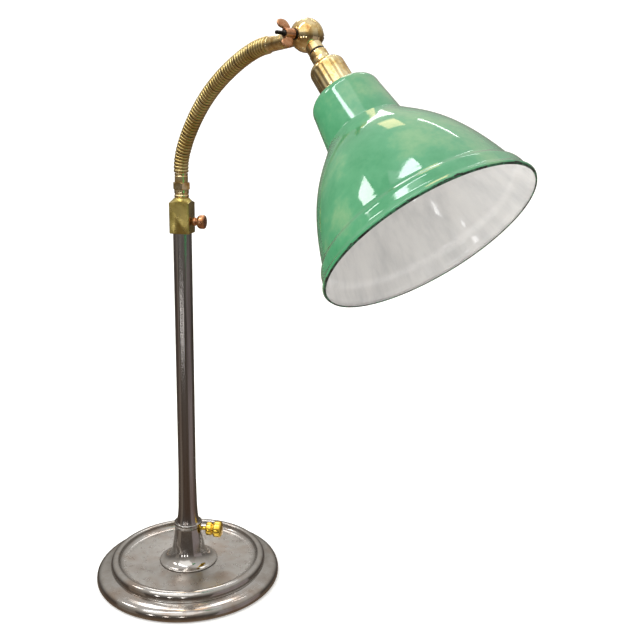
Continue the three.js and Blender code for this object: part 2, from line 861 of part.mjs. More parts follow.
// Frame at the end of the ribs, +Z along the gooseneck
const hoseEnd = hoseAt(hoseLength);
const tip = new THREE.Group();
tip.position.set(hoseEnd.x, 0, hoseEnd.z);
tip.rotation.y = hoseEnd.angle;
lamp.add(tip);

piece(
  "hose_tip_ferrule",
  ring(tipFerruleRadius, ferruleBore, clearance, tipFerruleLength, middleSides),
  polishedBrass,
  tip,
);

// Ball knuckle. Its two half balls meet in the arm's plane, and each carries the whole of its own tail.

const knuckleX = hoseEnd.x + ballReach * Math.sin(hoseEnd.angle);
const knuckleZ = hoseEnd.z + ballReach * Math.cos(hoseEnd.angle);
const screwBody = new THREE.Group(); // +Z along the knuckle screw, towards the wing nut
screwBody.position.set(knuckleX, 0, knuckleZ);
screwBody.rotation.x = radians(90);
lamp.add(screwBody);

// A half ball on +Z, between its flat face and a pole that is flat where a nut or a screw head bears.
function dome(radius, face, pole) {
  const rimAngle = Math.asin(face / radius);
  const poleAngle = Math.asin(pole / radius);
  const path = new THREE.Path();
  path.moveTo(0, face);
  path.lineTo(radius * Math.cos(rimAngle), face);
  path.absarc(0, 0, radius, rimAngle, poleAngle, false);
  path.lineTo(0, pole);
  return turned(path.getPoints(curveSteps), middleSides);
}

const splitFace = half(clearance);

// A half ball on +Z with its tail along +X, cut clear of the other half.
function halfBall(radius, tailEnd) {
  const tail = bar(radius, pocketInnerRadius, tailEnd, middleSides).rotateY(radians(90));
  const tailBore = bar(flexBore, pocketInnerRadius, tailEnd + overrun, smallSides).rotateY(radians(90));
  const otherHalf = dome(swingRadius, -splitFace, ballPoleHeight + clearance).rotateX(radians(180));
  const pocket = ring(
    pocketOuterRadius,
    pocketInnerRadius,
    splitFace - overrun,
    pocketDepth,
    smallSides,
  );
  const screwBore = bar(knuckleScrewRadius + clearance, -overrun, ballRadius, smallSides);
  const keptTail = cut(tail, otherHalf);
  return cut(join(dome(ballRadius, splitFace, ballPoleHeight), keptTail), pocket, screwBore, tailBore);
}

function armHalf() {
  const degrees = 270 - THREE.MathUtils.radToDeg(hoseEnd.angle);
  return halfBall(tailRadius, ballReach - tipFerruleLength - clearance).rotateZ(radians(degrees));
}

function clampScrew() {
  const headSeat = -(ballPoleHeight + clearance);
  const headEnd = headSeat - screwHeadThickness;
  const body = turned(
    [
      point(0, headEnd),
      point(screwHeadRadius, headEnd),
      point(screwHeadRadius, headSeat),
      point(knuckleScrewRadius, headSeat),
      point(knuckleScrewRadius, screwTipReach),
      point(0, screwTipReach),
    ],
    smallSides,
  );
  const slotLength = 2 * screwHeadRadius + overrun;
  const slot = slab(slotLength, screwSlotWidth, headEnd - overrun, headEnd + screwSlotDepth);
  return cut(body, slot);
}

const washerStart = ballPoleHeight + clearance;
const hubStart = washerStart + washerThickness + clearance;

function wingShape() {
  const rootHeight = hubStart + wingRootRise;
  const middleHeight = hubStart + wingMidRise;
  const topHeight = hubStart + wingTopRise;
  const shape = new THREE.Shape();
  shape.moveTo(knuckleScrewRadius, rootHeight);
  shape.quadraticCurveTo(wingReach, rootHeight, wingReach, middleHeight);
  shape.quadraticCurveTo(wingReach, topHeight, wingReach - half(wingTopWidth), topHeight);
  shape.quadraticCurveTo(wingReach - wingTopWidth, topHeight, hubRadius, hubStart + hubLength);
  shape.lineTo(knuckleScrewRadius, hubStart + hubLength);
  return shape;
}

function wingNut() {
  const hub = bar(hubRadius, hubStart, hubStart + hubLength, middleSides);
  const wings = [0, 180].map((degrees) =>
    new THREE.ExtrudeGeometry(wingShape(), {
      depth: wingThickness,
      bevelEnabled: false,
      curveSegments: curveSteps,
    })
      .translate(0, 0, -half(wingThickness))
      .rotateX(radians(90))
      .rotateZ(radians(wingDegrees + degrees)),
  );
  const bore = bar(
    knuckleScrewRadius + clearance,
    hubStart - overrun,
    hubStart + wingTopRise + overrun,
    smallSides,
  );
  return cut(join(hub, ...wings), bore);
}

piece("knuckle_half_arm", armHalf(), polishedBrass, screwBody);
piece("clamp_screw", clampScrew(), darkSteel, screwBody);
piece(
  "spring_washer",
  ring(washerRadius, knuckleScrewRadius + clearance, washerStart, washerStart + washerThickness, smallSides),
  darkSteel,
  screwBody,
);
piece("wing_nut", wingNut(), copperBrown, screwBody);

// Head: +Z runs from the ball's centre down the shade's axis

const head = new THREE.Group();
head.position.set(knuckleX, 0, knuckleZ);
head.rotation.y = radians(180 - headTiltDegrees);
lamp.add(head);

// The head's half ball faces the other way, and its tail is the neck down the shade's axis.
function headHalf() {
  return halfBall(headNeckRadius, headNeckEnd).rotateX(radians(-90)).rotateY(radians(-90));
}

const fibreStart = headNeckEnd + clearance;
const collarStart = fibreStart + fibreThickness + clearance;
const collarWaistStart = capTop - clearance;
const collarFlangeStart = capTop + capWall + 2 * clearance;
const collarEnd = collarFlangeStart + collarFlangeThickness;
const collarWaistRadius = neckCollarRadius - neckCollarGroove;
const capHole = collarWaistRadius + clearance;

piece("knuckle_half_head", headHalf(), polishedBrass, head);
piece(
  "neck_ring",
  ring(fibreRadius, flexBore, fibreStart, fibreStart + fibreThickness, middleSides),
  fibre,
  head,
);
piece(
  "neck_collar",
  turned(
    closed([
      point(flexBore, collarStart),
      point(neckCollarRadius, collarStart),
      point(neckCollarRadius, half(collarStart + collarWaistStart) - neckCollarGroove),
      point(collarWaistRadius, half(collarStart + collarWaistStart)),
      point(neckCollarRadius, half(collarStart + collarWaistStart) + neckCollarGroove),
      point(neckCollarRadius, collarWaistStart),
      point(collarWaistRadius, collarWaistStart),
      point(collarWaistRadius, collarFlangeStart),
      point(collarFlangeRadius, collarFlangeStart),
      point(collarFlangeRadius, collarEnd),
      point(flexBore, collarEnd),
    ]),
    middleSides,
  ),
  polishedBrass,
  head,
);

// Lampholder: fluted cap, insulator with two contact plungers, bayonet barrel and shade ring

function fluteRing(distance, radius, depth) {
  const sides = 2 * fluteCount;
  return Array.from({ length: sides }, (_, k) => {
    const turn = (2 * Math.PI * k) / sides;
    const here = radius - (k % 2) * depth;
    return new THREE.Vector3(here * Math.cos(turn), here * Math.sin(turn), distance);
  });
}

const capBore = barrelRadius + clearance;
const capInsideTop = capTop + capWall;

function fluteCap() {
  const shoulderDrop = capShoulder - capTop;
  const shoulder = Array.from({ length: curveSteps }, (_, k) => {
    const turn = radians((90 * k) / curveSteps);
    const radius = half(capRadius + capHole) + half(capRadius - capHole) * Math.sin(turn);
    return fluteRing(capShoulder - shoulderDrop * Math.cos(turn), radius, 0);
  });
  return lofted([
    fluteRing(capTop, capHole, 0),
    ...shoulder,
    fluteRing(capShoulder, capRadius, 0),
    fluteRing(capShoulder + fluteDepth, capRadius, fluteDepth),
    fluteRing(capLipStart - fluteDepth, capRadius, fluteDepth),
    fluteRing(capLipStart, capRadius, 0),
    fluteRing(capLipStart, capLipRadius, 0),
    fluteRing(capBottom, capLipRadius, 0),
    fluteRing(capBottom, capBore, 0),
    fluteRing(capShoulder, capBore, 0),
    fluteRing(capInsideTop, half(capRadius + capHole), 0),
    fluteRing(capInsideTop, capHole, 0),
  ]);
}

const barrelBore = barrelRadius - barrelWall;
const plugRadius = barrelBore - clearance;

const plungerAt = (side) => side * half(plungerSpacing);

function insulator() {
  const body = turned(
    [
      point(0, insulatorTop),
      point(barrelRadius, insulatorTop),
      point(barrelRadius, barrelTop - clearance),
      point(plugRadius, barrelTop - clearance),
      point(plugRadius, insulatorPlugEnd),
      point(0, insulatorPlugEnd),
    ],
    middleSides,
  );
  const holes = [-1, 1].map((side) =>
    bar(
      plungerRadius + clearance,
      insulatorTop - overrun,
      insulatorPlugEnd + overrun,
      smallSides,
    ).translate(0, plungerAt(side), 0),
  );
  return cut(body, ...holes);
}

const bayonetSlotTop = barrelBottom - bayonetSlotDepth;

function barrel() {
  const body = ring(barrelRadius, barrelBore, barrelTop, barrelBottom, middleSides);
  const reach = barrelRadius + overrun;
  const slots = [0, 180].flatMap((side) => {
    const entry = slab(reach, bayonetSlotWidth, bayonetSlotTop, barrelBottom + overrun, half(reach));
    const steps = [];
    for (let step = 0; step <= bayonetSteps; step += 1) {
      const lock = slab(
        reach,
        bayonetSlotWidth,
        bayonetSlotTop,
        bayonetSlotTop + bayonetSlotWidth,
        half(reach),
      );
      steps.push(lock.rotateZ(radians((bayonetLockDegrees * step) / bayonetSteps + side)));
    }
    return [entry.rotateZ(radians(side)), ...steps];
  });
  return cut(body, ...slots);
}

function plunger(side) {
  const tipStart = plungerTip - plungerPip;
  return turned(
    [
      point(0, plungerTop),
      point(plungerRadius, plungerTop),
      point(plungerRadius, tipStart),
      point(plungerRadius - plungerPip, plungerTip),
      point(0, plungerTip),
    ],
    smallSides,
  ).translate(0, plungerAt(side), 0);
}

const shadeTop = capBottom + clearance;
const shadeRingStart = shadeTop + shadeWall + clearance;

piece("lampholder_cap", fluteCap(), polishedBrass, head);
piece("lampholder_insulator", insulator(), porcelain, head);
piece("contact_plunger_1", plunger(-1), yellowBrass, head);
piece("contact_plunger_2", plunger(1), yellowBrass, head);
piece("lampholder_barrel", barrel(), polishedBrass, head);
piece(
  "shade_ring",
  ring(shadeRingRadius, capBore, shadeRingStart, shadeRingStart + shadeRingLength, middleSides),
  fibre,
  head,
);
piece(
  "head_flex",
  bar(flexRadius, swingRadius + clearance, insulatorTop - clearance, flexSides),
  flexSheath,
  head,
);

// Bulb: bayonet cap with two pins, and an open-necked glass

function bulbCap() {
  const start = plungerTip + clearance;
  const body = turned(
    [
      point(0, start),
      point(bulbCapRadius, start),
      point(bulbCapRadius, bulbCapEnd),
      point(bulbCapRadius - bulbCapWall, bulbCapEnd),
      point(bulbCapRadius - bulbCapWall, start + 2 * bulbCapWall),
      point(0, start + 2 * bulbCapWall),
    ],
    middleSides,
  );
  const pinHeight = bayonetSlotTop + half(bayonetSlotWidth);
  const pins = [0, 180].map((side) =>
    sideways(
      bar(bulbPinRadius, bulbCapRadius - half(bulbCapWall), bulbPinReach, flexSides),
      pinHeight,
      bayonetLockDegrees + side,
    ),
  );
  return join(body, ...pins);
}

function bulbGlass() {
  const path = new THREE.Path();
  path.moveTo(bulbNeckRadius, bulbNeckStart);
  path.lineTo(bulbNeckRadius, bulbCapEnd);
  path.bezierCurveTo(
    bulbNeckRadius,
    half(bulbCapEnd + bulbWidest),
    bulbRadius,
    half(bulbCapEnd + bulbWidest),
    bulbRadius,
    bulbWidest,
  );
  path.quadraticCurveTo(bulbRadius, bulbTip, 0, bulbTip);
  const outside = path.getPoints(curveSteps);
  const inside = offsetOutline(outside, glassWall).reverse();
  inside[0].set(0, bulbTip - glassWall);
  return turned(closed([...outside, ...inside]), middleSides);
}

piece("bulb_cap", bulbCap(), yellowBrass, head);
piece("bulb_glass", bulbGlass(), glass, head);

// Shade: an enamelled bell with a straight neck, a stepped band and a beaded rim

function shadeOutside() {
  const at = (rise) => rimDistance - rise;
  const path = new THREE.Path();
  path.moveTo(capBore, shadeTop);
  path.lineTo(shadeTopRadius, shadeTop);
  path.quadraticCurveTo(shadeNeckRadius, shadeTop, shadeNeckRadius, at(shadeNeckTopRise));
  path.lineTo(shadeNeckFootRadius, at(shadeNeckFootRise));
  path.lineTo(bellShoulderRadius, at(bellShoulderRise));
  path.quadraticCurveTo(
    half(bellShoulderRadius + bellWaistRadius) + bellFullness * (bellShoulderRise - bellWaistRise),
    at(half(bellShoulderRise + bellWaistRise)),
    bellWaistRadius,
    at(bellWaistRise),
  );
  path.quadraticCurveTo(
    half(bellWaistRadius + bellFootRadius) + bellFullness * (bellWaistRise - bellFootRise),
    at(half(bellWaistRise + bellFootRise)),
    bellFootRadius,
    at(bellFootRise),
  );
  path.lineTo(bandTopRadius, at(bandTopRise));
  path.lineTo(bandRadius, at(bandRise));
  path.lineTo(rimBeadRadius, at(rimBeadRise));
  path.lineTo(shadeRimRadius, at(0));
  return path.getPoints(curveSteps);
}

piece("shade", turned(shellOutline(shadeOutside(), shadeWall), wideSides), greenEnamel, head);

export default lamp;
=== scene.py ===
"""Gooseneck desk lamp: steel base and stem, brass gooseneck and ball knuckle, green enamelled bell shade."""

import json
import math

import bmesh
import bpy
from mathutils import Matrix, Vector


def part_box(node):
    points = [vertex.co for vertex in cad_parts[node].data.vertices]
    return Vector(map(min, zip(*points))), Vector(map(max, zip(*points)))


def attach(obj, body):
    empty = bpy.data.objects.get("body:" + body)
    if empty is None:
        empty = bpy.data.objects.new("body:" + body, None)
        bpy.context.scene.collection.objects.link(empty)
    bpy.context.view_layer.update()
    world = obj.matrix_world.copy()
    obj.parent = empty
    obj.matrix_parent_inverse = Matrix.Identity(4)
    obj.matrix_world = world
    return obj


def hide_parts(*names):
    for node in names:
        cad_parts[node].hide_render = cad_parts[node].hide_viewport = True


bl_info = {
    "name": "Gooseneck desk lamp",
    "version": (1, 0, 0),
    "blender": (4, 5, 0),
    "location": "View3D > Sidebar > Desk lamp",
    "description": "Builds the visible pieces of a gooseneck desk lamp on its packed frame",
    "category": "Add Mesh",
}

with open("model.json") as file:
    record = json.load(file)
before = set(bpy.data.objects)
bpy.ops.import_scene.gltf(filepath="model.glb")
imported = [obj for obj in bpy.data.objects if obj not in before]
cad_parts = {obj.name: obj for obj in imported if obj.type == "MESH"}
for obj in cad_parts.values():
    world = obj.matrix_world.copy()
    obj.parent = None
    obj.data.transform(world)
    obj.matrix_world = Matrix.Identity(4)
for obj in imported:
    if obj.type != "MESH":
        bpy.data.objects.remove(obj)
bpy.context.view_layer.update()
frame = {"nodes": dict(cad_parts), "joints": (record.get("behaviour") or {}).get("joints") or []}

MM = 0.001


def in_mm(vector):
    return Vector(vector) / MM


def joint(name):
    return next(j for j in frame["joints"] if j["name"] == name)


def top_of(name):
    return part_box(name)[1].z / MM


def foot_of(name):
    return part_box(name)[0].z / MM


def widest(name):
    return max(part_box(name)[1].x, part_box(name)[1].y) / MM


# Places that the frame gives

BALL = in_mm(joint("head_tilt")["pos_m"])
HEAD_AXIS = -Vector(joint("contact_1_travel")["axis"]).normalized()
BASE_SCREW = joint("base_screw_turn")
BLOCK_SCREW = joint("block_screw_turn")

# Sizes in millimetres. Where nothing else is said, a pair is a radius and a height along the piece's axis.

CLEARANCE = 0.3
OVERRUN = 2.0  # how far a cut runs past the face that it opens
FLEX_BORE = 3.3

SHELL_FOOT = (98.6, 0.9)
FLANGE_WAIST = 4.2
FLANGE_SHOULDER = (92.5, 12.6)
GROOVE = (84.6, 14.4)
RING = (85.6, 16.4)
RIM = (79.6, 24.2)
RIM_INNER = (76.8, 22.6)
DISH_EDGE = (69.0, 17.3)
DISH_HOLE = 11.9
SHELL_ROUND = 0.8

NECK_FOOT = 32.0
NECK_TOE = 1.3
NECK_TOE_INSET = 1.4
NECK_SWEEP = 0.6  # how far above the toe its curve leaves
NECK_CONE = (18.4, 31.0)
NECK_RADIUS = 14.5
NECK_FLARE = 57.0
NECK_LEAN = 1.2
COLLAR_RADIUS = 15.4
COLLAR_LENGTH = 4.0
COLLAR_LIP = 1.9
COLLAR_RECESS = 1.8
SPIGOT_RADIUS = 11.5
STEM_SEAT = 29.0

STEM_RADIUS = 9.525
STEM_FLARE = 13.2
STEM_FLARE_LEAN = (10.9, 4.7)
STEM_SWELL = (10.3, 21.7)
STEM_SWELL_LENGTH = 38.0

# The neck's thumb screw, along its own axis from the stem's
SHANK_RADIUS = 2.0
KNOB_START = 20.6
KNOB_LENGTH = 18.0
KNOB_COLLAR = (7.4, 7.0)
KNOB_COLLAR_ROUND = (2.2, 2.4)  # inset and length
KNOB_COLLAR_END = 1.6
KNOB_WAIST = (1.8, 0.8)  # depth under the collar and length
KNOB_SWELL = (1.2, 4.2)  # where the knob's curve turns and where it is full, from the waist
KNOB_CROWN = (3.0, 3.6)  # inset of its flat and length
KNOB_CROWN_DROPS = (0.6, 0.2)

# The block's thumb screw
BEAD = (4.3, 4.6)
SMALL_WAIST = (3.2, 1.5)
SMALL_HEAD_FOOT = 5.0
SMALL_HEAD_LEAN = (6.8, 0.8)
SMALL_HEAD_EDGE = (7.1, 3.4)
SMALL_HEAD_LENGTH = 6.1
SMALL_CROWN = 4.4
SMALL_CROWN_RISES = (1.8, 2.0, 2.1)

BLOCK_SIDE = 20.8
BLOCK_CORNER = 0.5
BLOCK_CHAMFER = (0.6, 0.8)
BLOCK_TURNED_RADIUS = 7.8
BLOCK_TURNED_DROP = 4.6
BLOCK_TURNED_WAIST = 3.9

UNION_RADIUS = 7.4
UNION_CHAMFER = (0.5, 0.8)
UNION_GROOVE = (2.4, 3.0, 4.0, 4.6)  # heights where it starts, is full, leaves and ends
UNION_SPIGOT = 6.6
NUT_CORNER = 9.3
NUT_CHAMFER = (0.9, 0.8)
NUT_TOP_WALL = 1.4
NUT_MOUTH_DEPTH = 3.0  # through the top wall, from its outer face
FERRULE_RADIUS = 6.7
FERRULE_FLANGE = (7.2, 1.2)
FERRULE_GROOVE = (1.0, 0.6)  # width and depth
FERRULE_GROOVE_DROP = 3.4
TIP_FERRULE = (6.4, 22.0)
TIP_GROOVE = (1.0, 0.5)
TIP_GROOVE_START = 3.0

HOSE_FOOT = 447.6
RIB_PITCH = 3.56
RIBS_EACH = 6
HOSE_EACH = RIB_PITCH * RIBS_EACH
RIB_RADIUS = 7.5
RIB_STEPS = 10
RIB_FLATNESS = 3.2  # power of the crest's curve
HOSE_STRAIGHT = 2.0
HOSE_BENDS = (24.9, 10.9, 6.2, 6.9, 6.9, 5.5, 4.6, 6.4, 11.9)  # degrees in each length
JOINT_GAP = 0.5
SEAT_RADIUS = 5.4
SEAT_DEGREES = (98, 82, 66, 52)
SOCKET_DEGREES = (50, 66, 84)
HOSE_SPIGOT = (5.3, 13.0)

BALL_RADIUS = 13.8
BALL_POLE = 13.0
BALL_HOLE_END = 20.0  # clear of the ball's pole
SPLIT = 0.15
TAIL_START = 4.8
TAIL_BORE_START = 5.0
ARM_TAIL_RADIUS = 6.4
HEAD_NECK = (7.0, 18.4)
SCREW_RADIUS = 2.5
SCREW_TIP = 32.9
SCREW_WEAR = (0.9, 2.0)  # depth past the nut and the length that it takes
SCREW_HEAD = (4.4, 2.4)
SCREW_SLOT = (6.0, 1.1, 1.0)  # reach, width and depth
WASHER = (4.5, 1.1)
HUB_START = 14.7
HUB_LENGTH = 9.4
HUB_RADIUS = 4.2
HUB_RING = 3.0
WING_DEGREES = 112
WING_INNER = 1.5
WING_RISES = (1.4, 8.6, 14.4)  # root, widest place and top, above the hub's start
WING_TIP_SHARE = 0.3083  # how far the top's curve runs inwards, as a share of the reach
WING_HALF = 1.45  # half its thickness at the axis
WING_TAPER = 0.035
WING_SHARES = ((0.0, 1.0), (0.45, 1.0), (0.8, 0.9), (0.95, 0.6), (1.0, 0.0))  # of its outline and thickness

FIBRE_WASHER = (6.9, 18.7, 19.9)  # radius, start and end
HOLDER_COLLAR = (7.5, 20.2)
HOLDER_COLLAR_ROUND = (0.6, 0.8)
HOLDER_COLLAR_GROOVE = (1.2, 0.3)
HOLDER_FLANGE = (9.4, 1.8, 3.3)  # radius, start and end inside the cap
CAP_TOP = 32.0
CAP_SHOULDER = 38.0
CAP_RADIUS = 14.9
CAP_LIP_START = 60.2
CAP_LIP_RADIUS = 15.4
CAP_BOTTOM = 64.0
CAP_BORE = 13.9
CAP_WALL = 1.2
FLUTES = 20
FLUTE_ENDS = (1.6, 1.2)  # lengths in which a flute deepens and dies out
BARREL = (13.6, 11.6, 51.0, 90.0)  # radius, bore, start and end
BARREL_LIP = (0.3, 2.5, 1.9, 1.4)  # inset and three drops
BAYONET_WIDTH = 3.0
BAYONET_DEPTH = 17.5
BAYONET_TURNS = (11, 22)
GALLERY = (18.8, 65.7, 71.1)
GALLERY_GROOVE = (2.0, 0.8)
BULB_NECK = (9.6, 72.0)
BULB_WIDEST = (29.5, 133.0)
BULB_TIP = 161.0
BULB_TIP_REACH = 15.0
BULB_TIP_SHARE = 0.55
BULB_CAP = (11.0, 63.8, 88.5)
BULB_CAP_WALL = 0.8
BULB_PIN = (1.0, 10.6, 12.9)
BULB_PIN_HEIGHT = 74.0
BULB_PIN_TURNS = (22, 202)

RIM_DISTANCE = 207.6
SHADE_RIM = 87.4
SHADE_LIP = 1.1
SHADE_ROUND = 2.4
RIM_BEAD = (88.9, 2.4)
BAND = (86.4, 5.4)
BAND_TOP = (84.2, 14.4)
BELL_FOOT = (80.4, 18.4)
BELL_LEANS = ((47.6, 84.2), (64.9, 73.2))
SHADE_NECK_FOOT = (33.4, 102.4)
SHADE_NECK = (29.2, 135.0)
SHADE_TOP_RADIUS = 20.0

# Roundness of the meshes

WIDE_SIDES = 192
MIDDLE_SIDES = 96
SMALL_SIDES = 48
CURVE_STEPS = 12

# Stage, in metres and degrees: the camera is the photograph's, fitted to the base, stem and shade

CAMERA_PLACE = (0.7207, -0.4721, 0.5039)
CAMERA_HEADING = (-0.7340, 0.6792, 0)
CAMERA_PITCH = 13.67
CAMERA_ROLL = 1.14
FOCAL_LENGTH = 46.76
SENSOR_WIDTH = 36.0
FLOOR_FRONT = -3.0
FLOOR_BEND = 1.2
FLOOR_RADIUS = 0.8
FLOOR_TOP = 3.6
FLOOR_HALF_WIDTH = 3.5
LIT = Vector((0.1, 0, 0.3))

# Name, direction and rise in degrees, distance, width, height, brightness and colour
LIGHTS = (
    ("key", -62, 50, 2.4, 2.8, 2.4, 0.7, "ffffff"),
    ("tube", -104, 62, 1.8, 0.14, 1.3, 8.0, "f6fbff"),
    ("side_window", -132, 39, 2.0, 0.3, 0.42, 7.0, "ffffff"),
    ("warm_lamp", 149, 60, 1.9, 0.36, 0.4, 2.6, "ffd9a0"),
    ("far_tube", 110, 54, 2.0, 0.5, 0.05, 7.0, "ffffff"),
    ("far_window", 150, 41, 2.2, 0.8, 0.34, 3.5, "ffffff"),
    ("low_pane_left", -80, -7, 2.0, 0.14, 0.26, 5.0, "ffffff"),
    ("low_pane", -62, -7, 2.0, 0.14, 0.26, 5.0, "ffffff"),
    ("low_pane_right", -44, -7, 2.0, 0.14, 0.26, 5.0, "ffffff"),
    ("low_wall", 28, -17, 2.0, 2.2, 1.3, 0.42, "b8aeb4"),
    ("low_left", -112, -14, 2.0, 0.9, 1.2, 0.3, "b5ada2"),
)


# Colours and settings


def linear(text):
    """A colour of the real finish, sRGB hex to linear."""
    channels = [int(text[i : i + 2], 16) / 255 for i in (0, 2, 4)]
    return tuple(c / 12.92 if c <= 0.04045 else ((c + 0.055) / 1.055) ** 2.4 for c in channels)


def rgba(text):
    return (*linear(text), 1.0)


def grey(value):
    return (value, value, value, 1.0)


def length(name, description, millimetres):
    return bpy.props.FloatProperty(
        name=name,
        description=description,
        default=millimetres * MM,
        min=0.0,
        precision=5,
        unit="LENGTH",
        subtype="DISTANCE",
    )


def colour(name, description, text):
    return bpy.props.FloatVectorProperty(
        name=name, description=description, default=rgba(text), size=4, min=0.0, max=1.0, subtype="COLOR"
    )


def strength(name, description):
    return bpy.props.FloatProperty(name=name, description=description, default=1.0, min=0.0)


class SizeSettings(bpy.types.PropertyGroup):
    """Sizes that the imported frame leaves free"""

    shell_wall: length("Base wall", "Thickness of the spun base shell", 1.2)
    stem_wall: length("Stem wall", "Wall of the stem's drawn tube", 1.5)
    knob_radius: length("Knob radius", "Half the width of the neck's thumb screw", 8.9)
    rib_depth: length("Rib depth", "How far the gooseneck's ribs stand above their grooves", 1.1)
    wing_reach: length("Wing reach", "From the wing nut's axis to the edge of a wing", 12.0)
    thread_pitch: length("Thread pitch", "Pitch of the knuckle screw's thread", 0.8)
    thread_depth: length("Thread depth", "Depth of the knuckle screw's thread", 0.35)
    flute_depth: length("Flute depth", "Depth of the flutes round the lampholder's cap", 0.38)
    glass_wall: length("Glass wall", "Thickness of the bulb's glass", 0.9)
    shade_wall: length("Shade wall", "Thickness of the enamelled sheet", 1.1)


class ColourSettings(bpy.types.PropertyGroup):
    """Main colour of each finish; its darker and paler patches stay as they are"""

    steel: colour("Base steel", "Spun and polished steel of the base and its neck", "b5b2ae")
    tube: colour("Stem steel", "Drawn steel tube of the stem", "a8a4a1")
    brass: colour("Brass", "Polished brass of the knuckle, union and lampholder", "f0dcab")
    block_brass: colour("Block brass", "Dull brass of the clamp block", "cbb970")
    hose_brass: colour("Gooseneck brass", "Worn crests of the gooseneck's ribs", "f0dfae")
    yellow_brass: colour("Yellow brass", "Lacquered brass of the neck's thumb screw", "f8d462")
    gunmetal: colour("Gunmetal", "Coppery metal of the wing nut and the block's thumb screw", "d6a27c")
    enamel: colour("Enamel", "Enamel outside the shade", "55a474")
    lining: colour("Lining", "Enamel inside the shade", "e9e8e7")
    braid: colour("Braid", "Cotton braid of the flex", "7a5530")


class StageSettings(bpy.types.PropertyGroup):
    """Strengths of the stage's light"""

    key: strength("Lights", "Brightness of all the soft lights")
    fill: strength("Fill", "Strength of the even light from all round")


SETTINGS = {
    "desklamp_sizes": SizeSettings,
    "desklamp_colours": ColourSettings,
    "desklamp_stage": StageSettings,
}


def size(name):
    return getattr(bpy.context.scene.desklamp_sizes, name) / MM


def paint(name):
    return tuple(getattr(bpy.context.scene.desklamp_colours, name))


# Outlines: half sections as (radius, height) corners in millimetres


class Outline:
    def __init__(self, radius, height):
        self.corners = [Vector((radius, height))]

    def line(self, radius, height):
        self.corners.append(Vector((radius, height)))
        return self

    def sweep(self, *points, steps=CURVE_STEPS):
        """A Bezier curve from the last corner, over its control points to its end."""
        ends = [self.corners[-1], *(Vector(p) for p in points)]
        for i in range(1, steps + 1):
            row = ends
            while len(row) > 1:
                row = [a.lerp(b, i / steps) for a, b in zip(row, row[1:])]
            self.corners.append(row[0])
        return self

    def curve(self, control_radius, control_height, radius, height, steps=CURVE_STEPS):
        return self.sweep((control_radius, control_height), (radius, height), steps=steps)

    def groove(self, width, depth, steps=4):
        """A round groove up the side from the last corner. Its curve reaches half the depth."""
        radius, height = self.corners[-1]
        return self.curve(radius - depth, height + width / 2, radius, height + width, steps)

    def arc(self, radius, start, end, steps=CURVE_STEPS):
        """An arc about the axis' origin, between two angles in radians."""
        for i in range(steps + 1):
            turn = start + (end - start) * i / steps
            self.corners.append(Vector((radius * math.cos(turn), radius * math.sin(turn))))
        return self


def eased(corners, radius, closed=True, steps=3, least=25):
    """The same corners with each sharp one rounded, as a buffed edge is."""
    count = len(corners)
    result = []
    for i, here in enumerate(corners):
        arriving, leaving = here - corners[i - 1], corners[(i + 1) % count] - here
        kept = here.x < 1e-6 or min(arriving.length, leaving.length) < 1e-6
        kept = kept or (not closed and i in (0, count - 1))
        if kept or arriving.angle(leaving) < math.radians(least):
            result.append(here)
            continue
        reach = min(radius, arriving.length * 0.45, leaving.length * 0.45)
        start = here - arriving.normalized() * reach
        end = here + leaving.normalized() * reach
        result += Outline(*start).curve(*here, *end, steps=steps).corners
    return result


def offset(corners, distance):
    """The corners moved to their left by a distance."""
    moved = []
    for i, here in enumerate(corners):
        before = corners[max(i - 1, 0)]
        after = corners[min(i + 1, len(corners) - 1)]
        along = (after - before).normalized()
        moved.append(here + Vector((-along.y, along.x)) * distance)
    return moved


# Meshes


def new_piece(name, mesh, place=None):
    piece = bpy.data.objects.new(name, mesh)
    bpy.context.scene.collection.objects.link(piece)
    if place is not None:
        piece.matrix_world = place
    return piece


def mesh_of(name, work, smooth=40):
    bmesh.ops.remove_doubles(work, verts=work.verts, dist=1e-7)
    bmesh.ops.recalc_face_normals(work, faces=work.faces)
    mesh = bpy.data.meshes.new(name)
    work.to_mesh(mesh)
    work.free()
    mesh.shade_smooth()
    mesh.set_sharp_from_angle(angle=math.radians(smooth))
    return mesh


def skinned(rings, looped=False, caps=False):
    """A bmesh over rings of points in millimetres. A ring of one point is a pole."""
    work = bmesh.new()
    rows = [[work.verts.new(Vector(p) * MM) for p in ring] for ring in rings]
    pairs = list(zip(rows, rows[1:]))
    if looped:
        pairs.append((rows[-1], rows[0]))
    for here, there in pairs:
        count = max(len(here), len(there))
        if count == 1:
            continue
        for k in range(count):
            j = (k + 1) % count
            if len(here) == 1:
                work.faces.new((here[0], there[k], there[j]))
            elif len(there) == 1:
                work.faces.new((here[k], here[j], there[0]))
            else:
                work.faces.new((here[k], here[j], there[j], there[k]))
    if caps:
        for row in (rows[0], rows[-1]):
            work.faces.new(row)
    return work


def circle(radius, sides, swell=None):
    """Points round the axis, with a radius that can swell with the turn."""
    points = []
    for k in range(sides):
        turn = 2 * math.pi * k / sides
        here = radius + (swell(turn) if swell else 0)
        points.append((here * math.cos(turn), here * math.sin(turn)))
    return points


def around(radius, height, sides, swell=None):
    if radius < 1e-6:
        return [(0, 0, height)]
    return [(x, y, height) for x, y in circle(radius, sides, swell)]


def lathe_rings(corners, sides):
    return [around(max(c.x, 0), c.y, sides) for c in corners]


def turned(name, outline, sides=MIDDLE_SIDES, ease=0.35, closed=True, place=None, smooth=40):
    """A piece turned on a lathe from its outline."""
    corners = outline.corners if isinstance(outline, Outline) else [Vector(c) for c in outline]
    rings = lathe_rings(eased(corners, ease, closed=closed), sides)
    return new_piece(name, mesh_of(name, skinned(rings, looped=closed), smooth), place)


def tube(name, outer, bore, start, end, sides=MIDDLE_SIDES, ease=0.35, place=None):
    return turned(name, [(bore, start), (outer, start), (outer, end), (bore, end)], sides, ease, True, place)


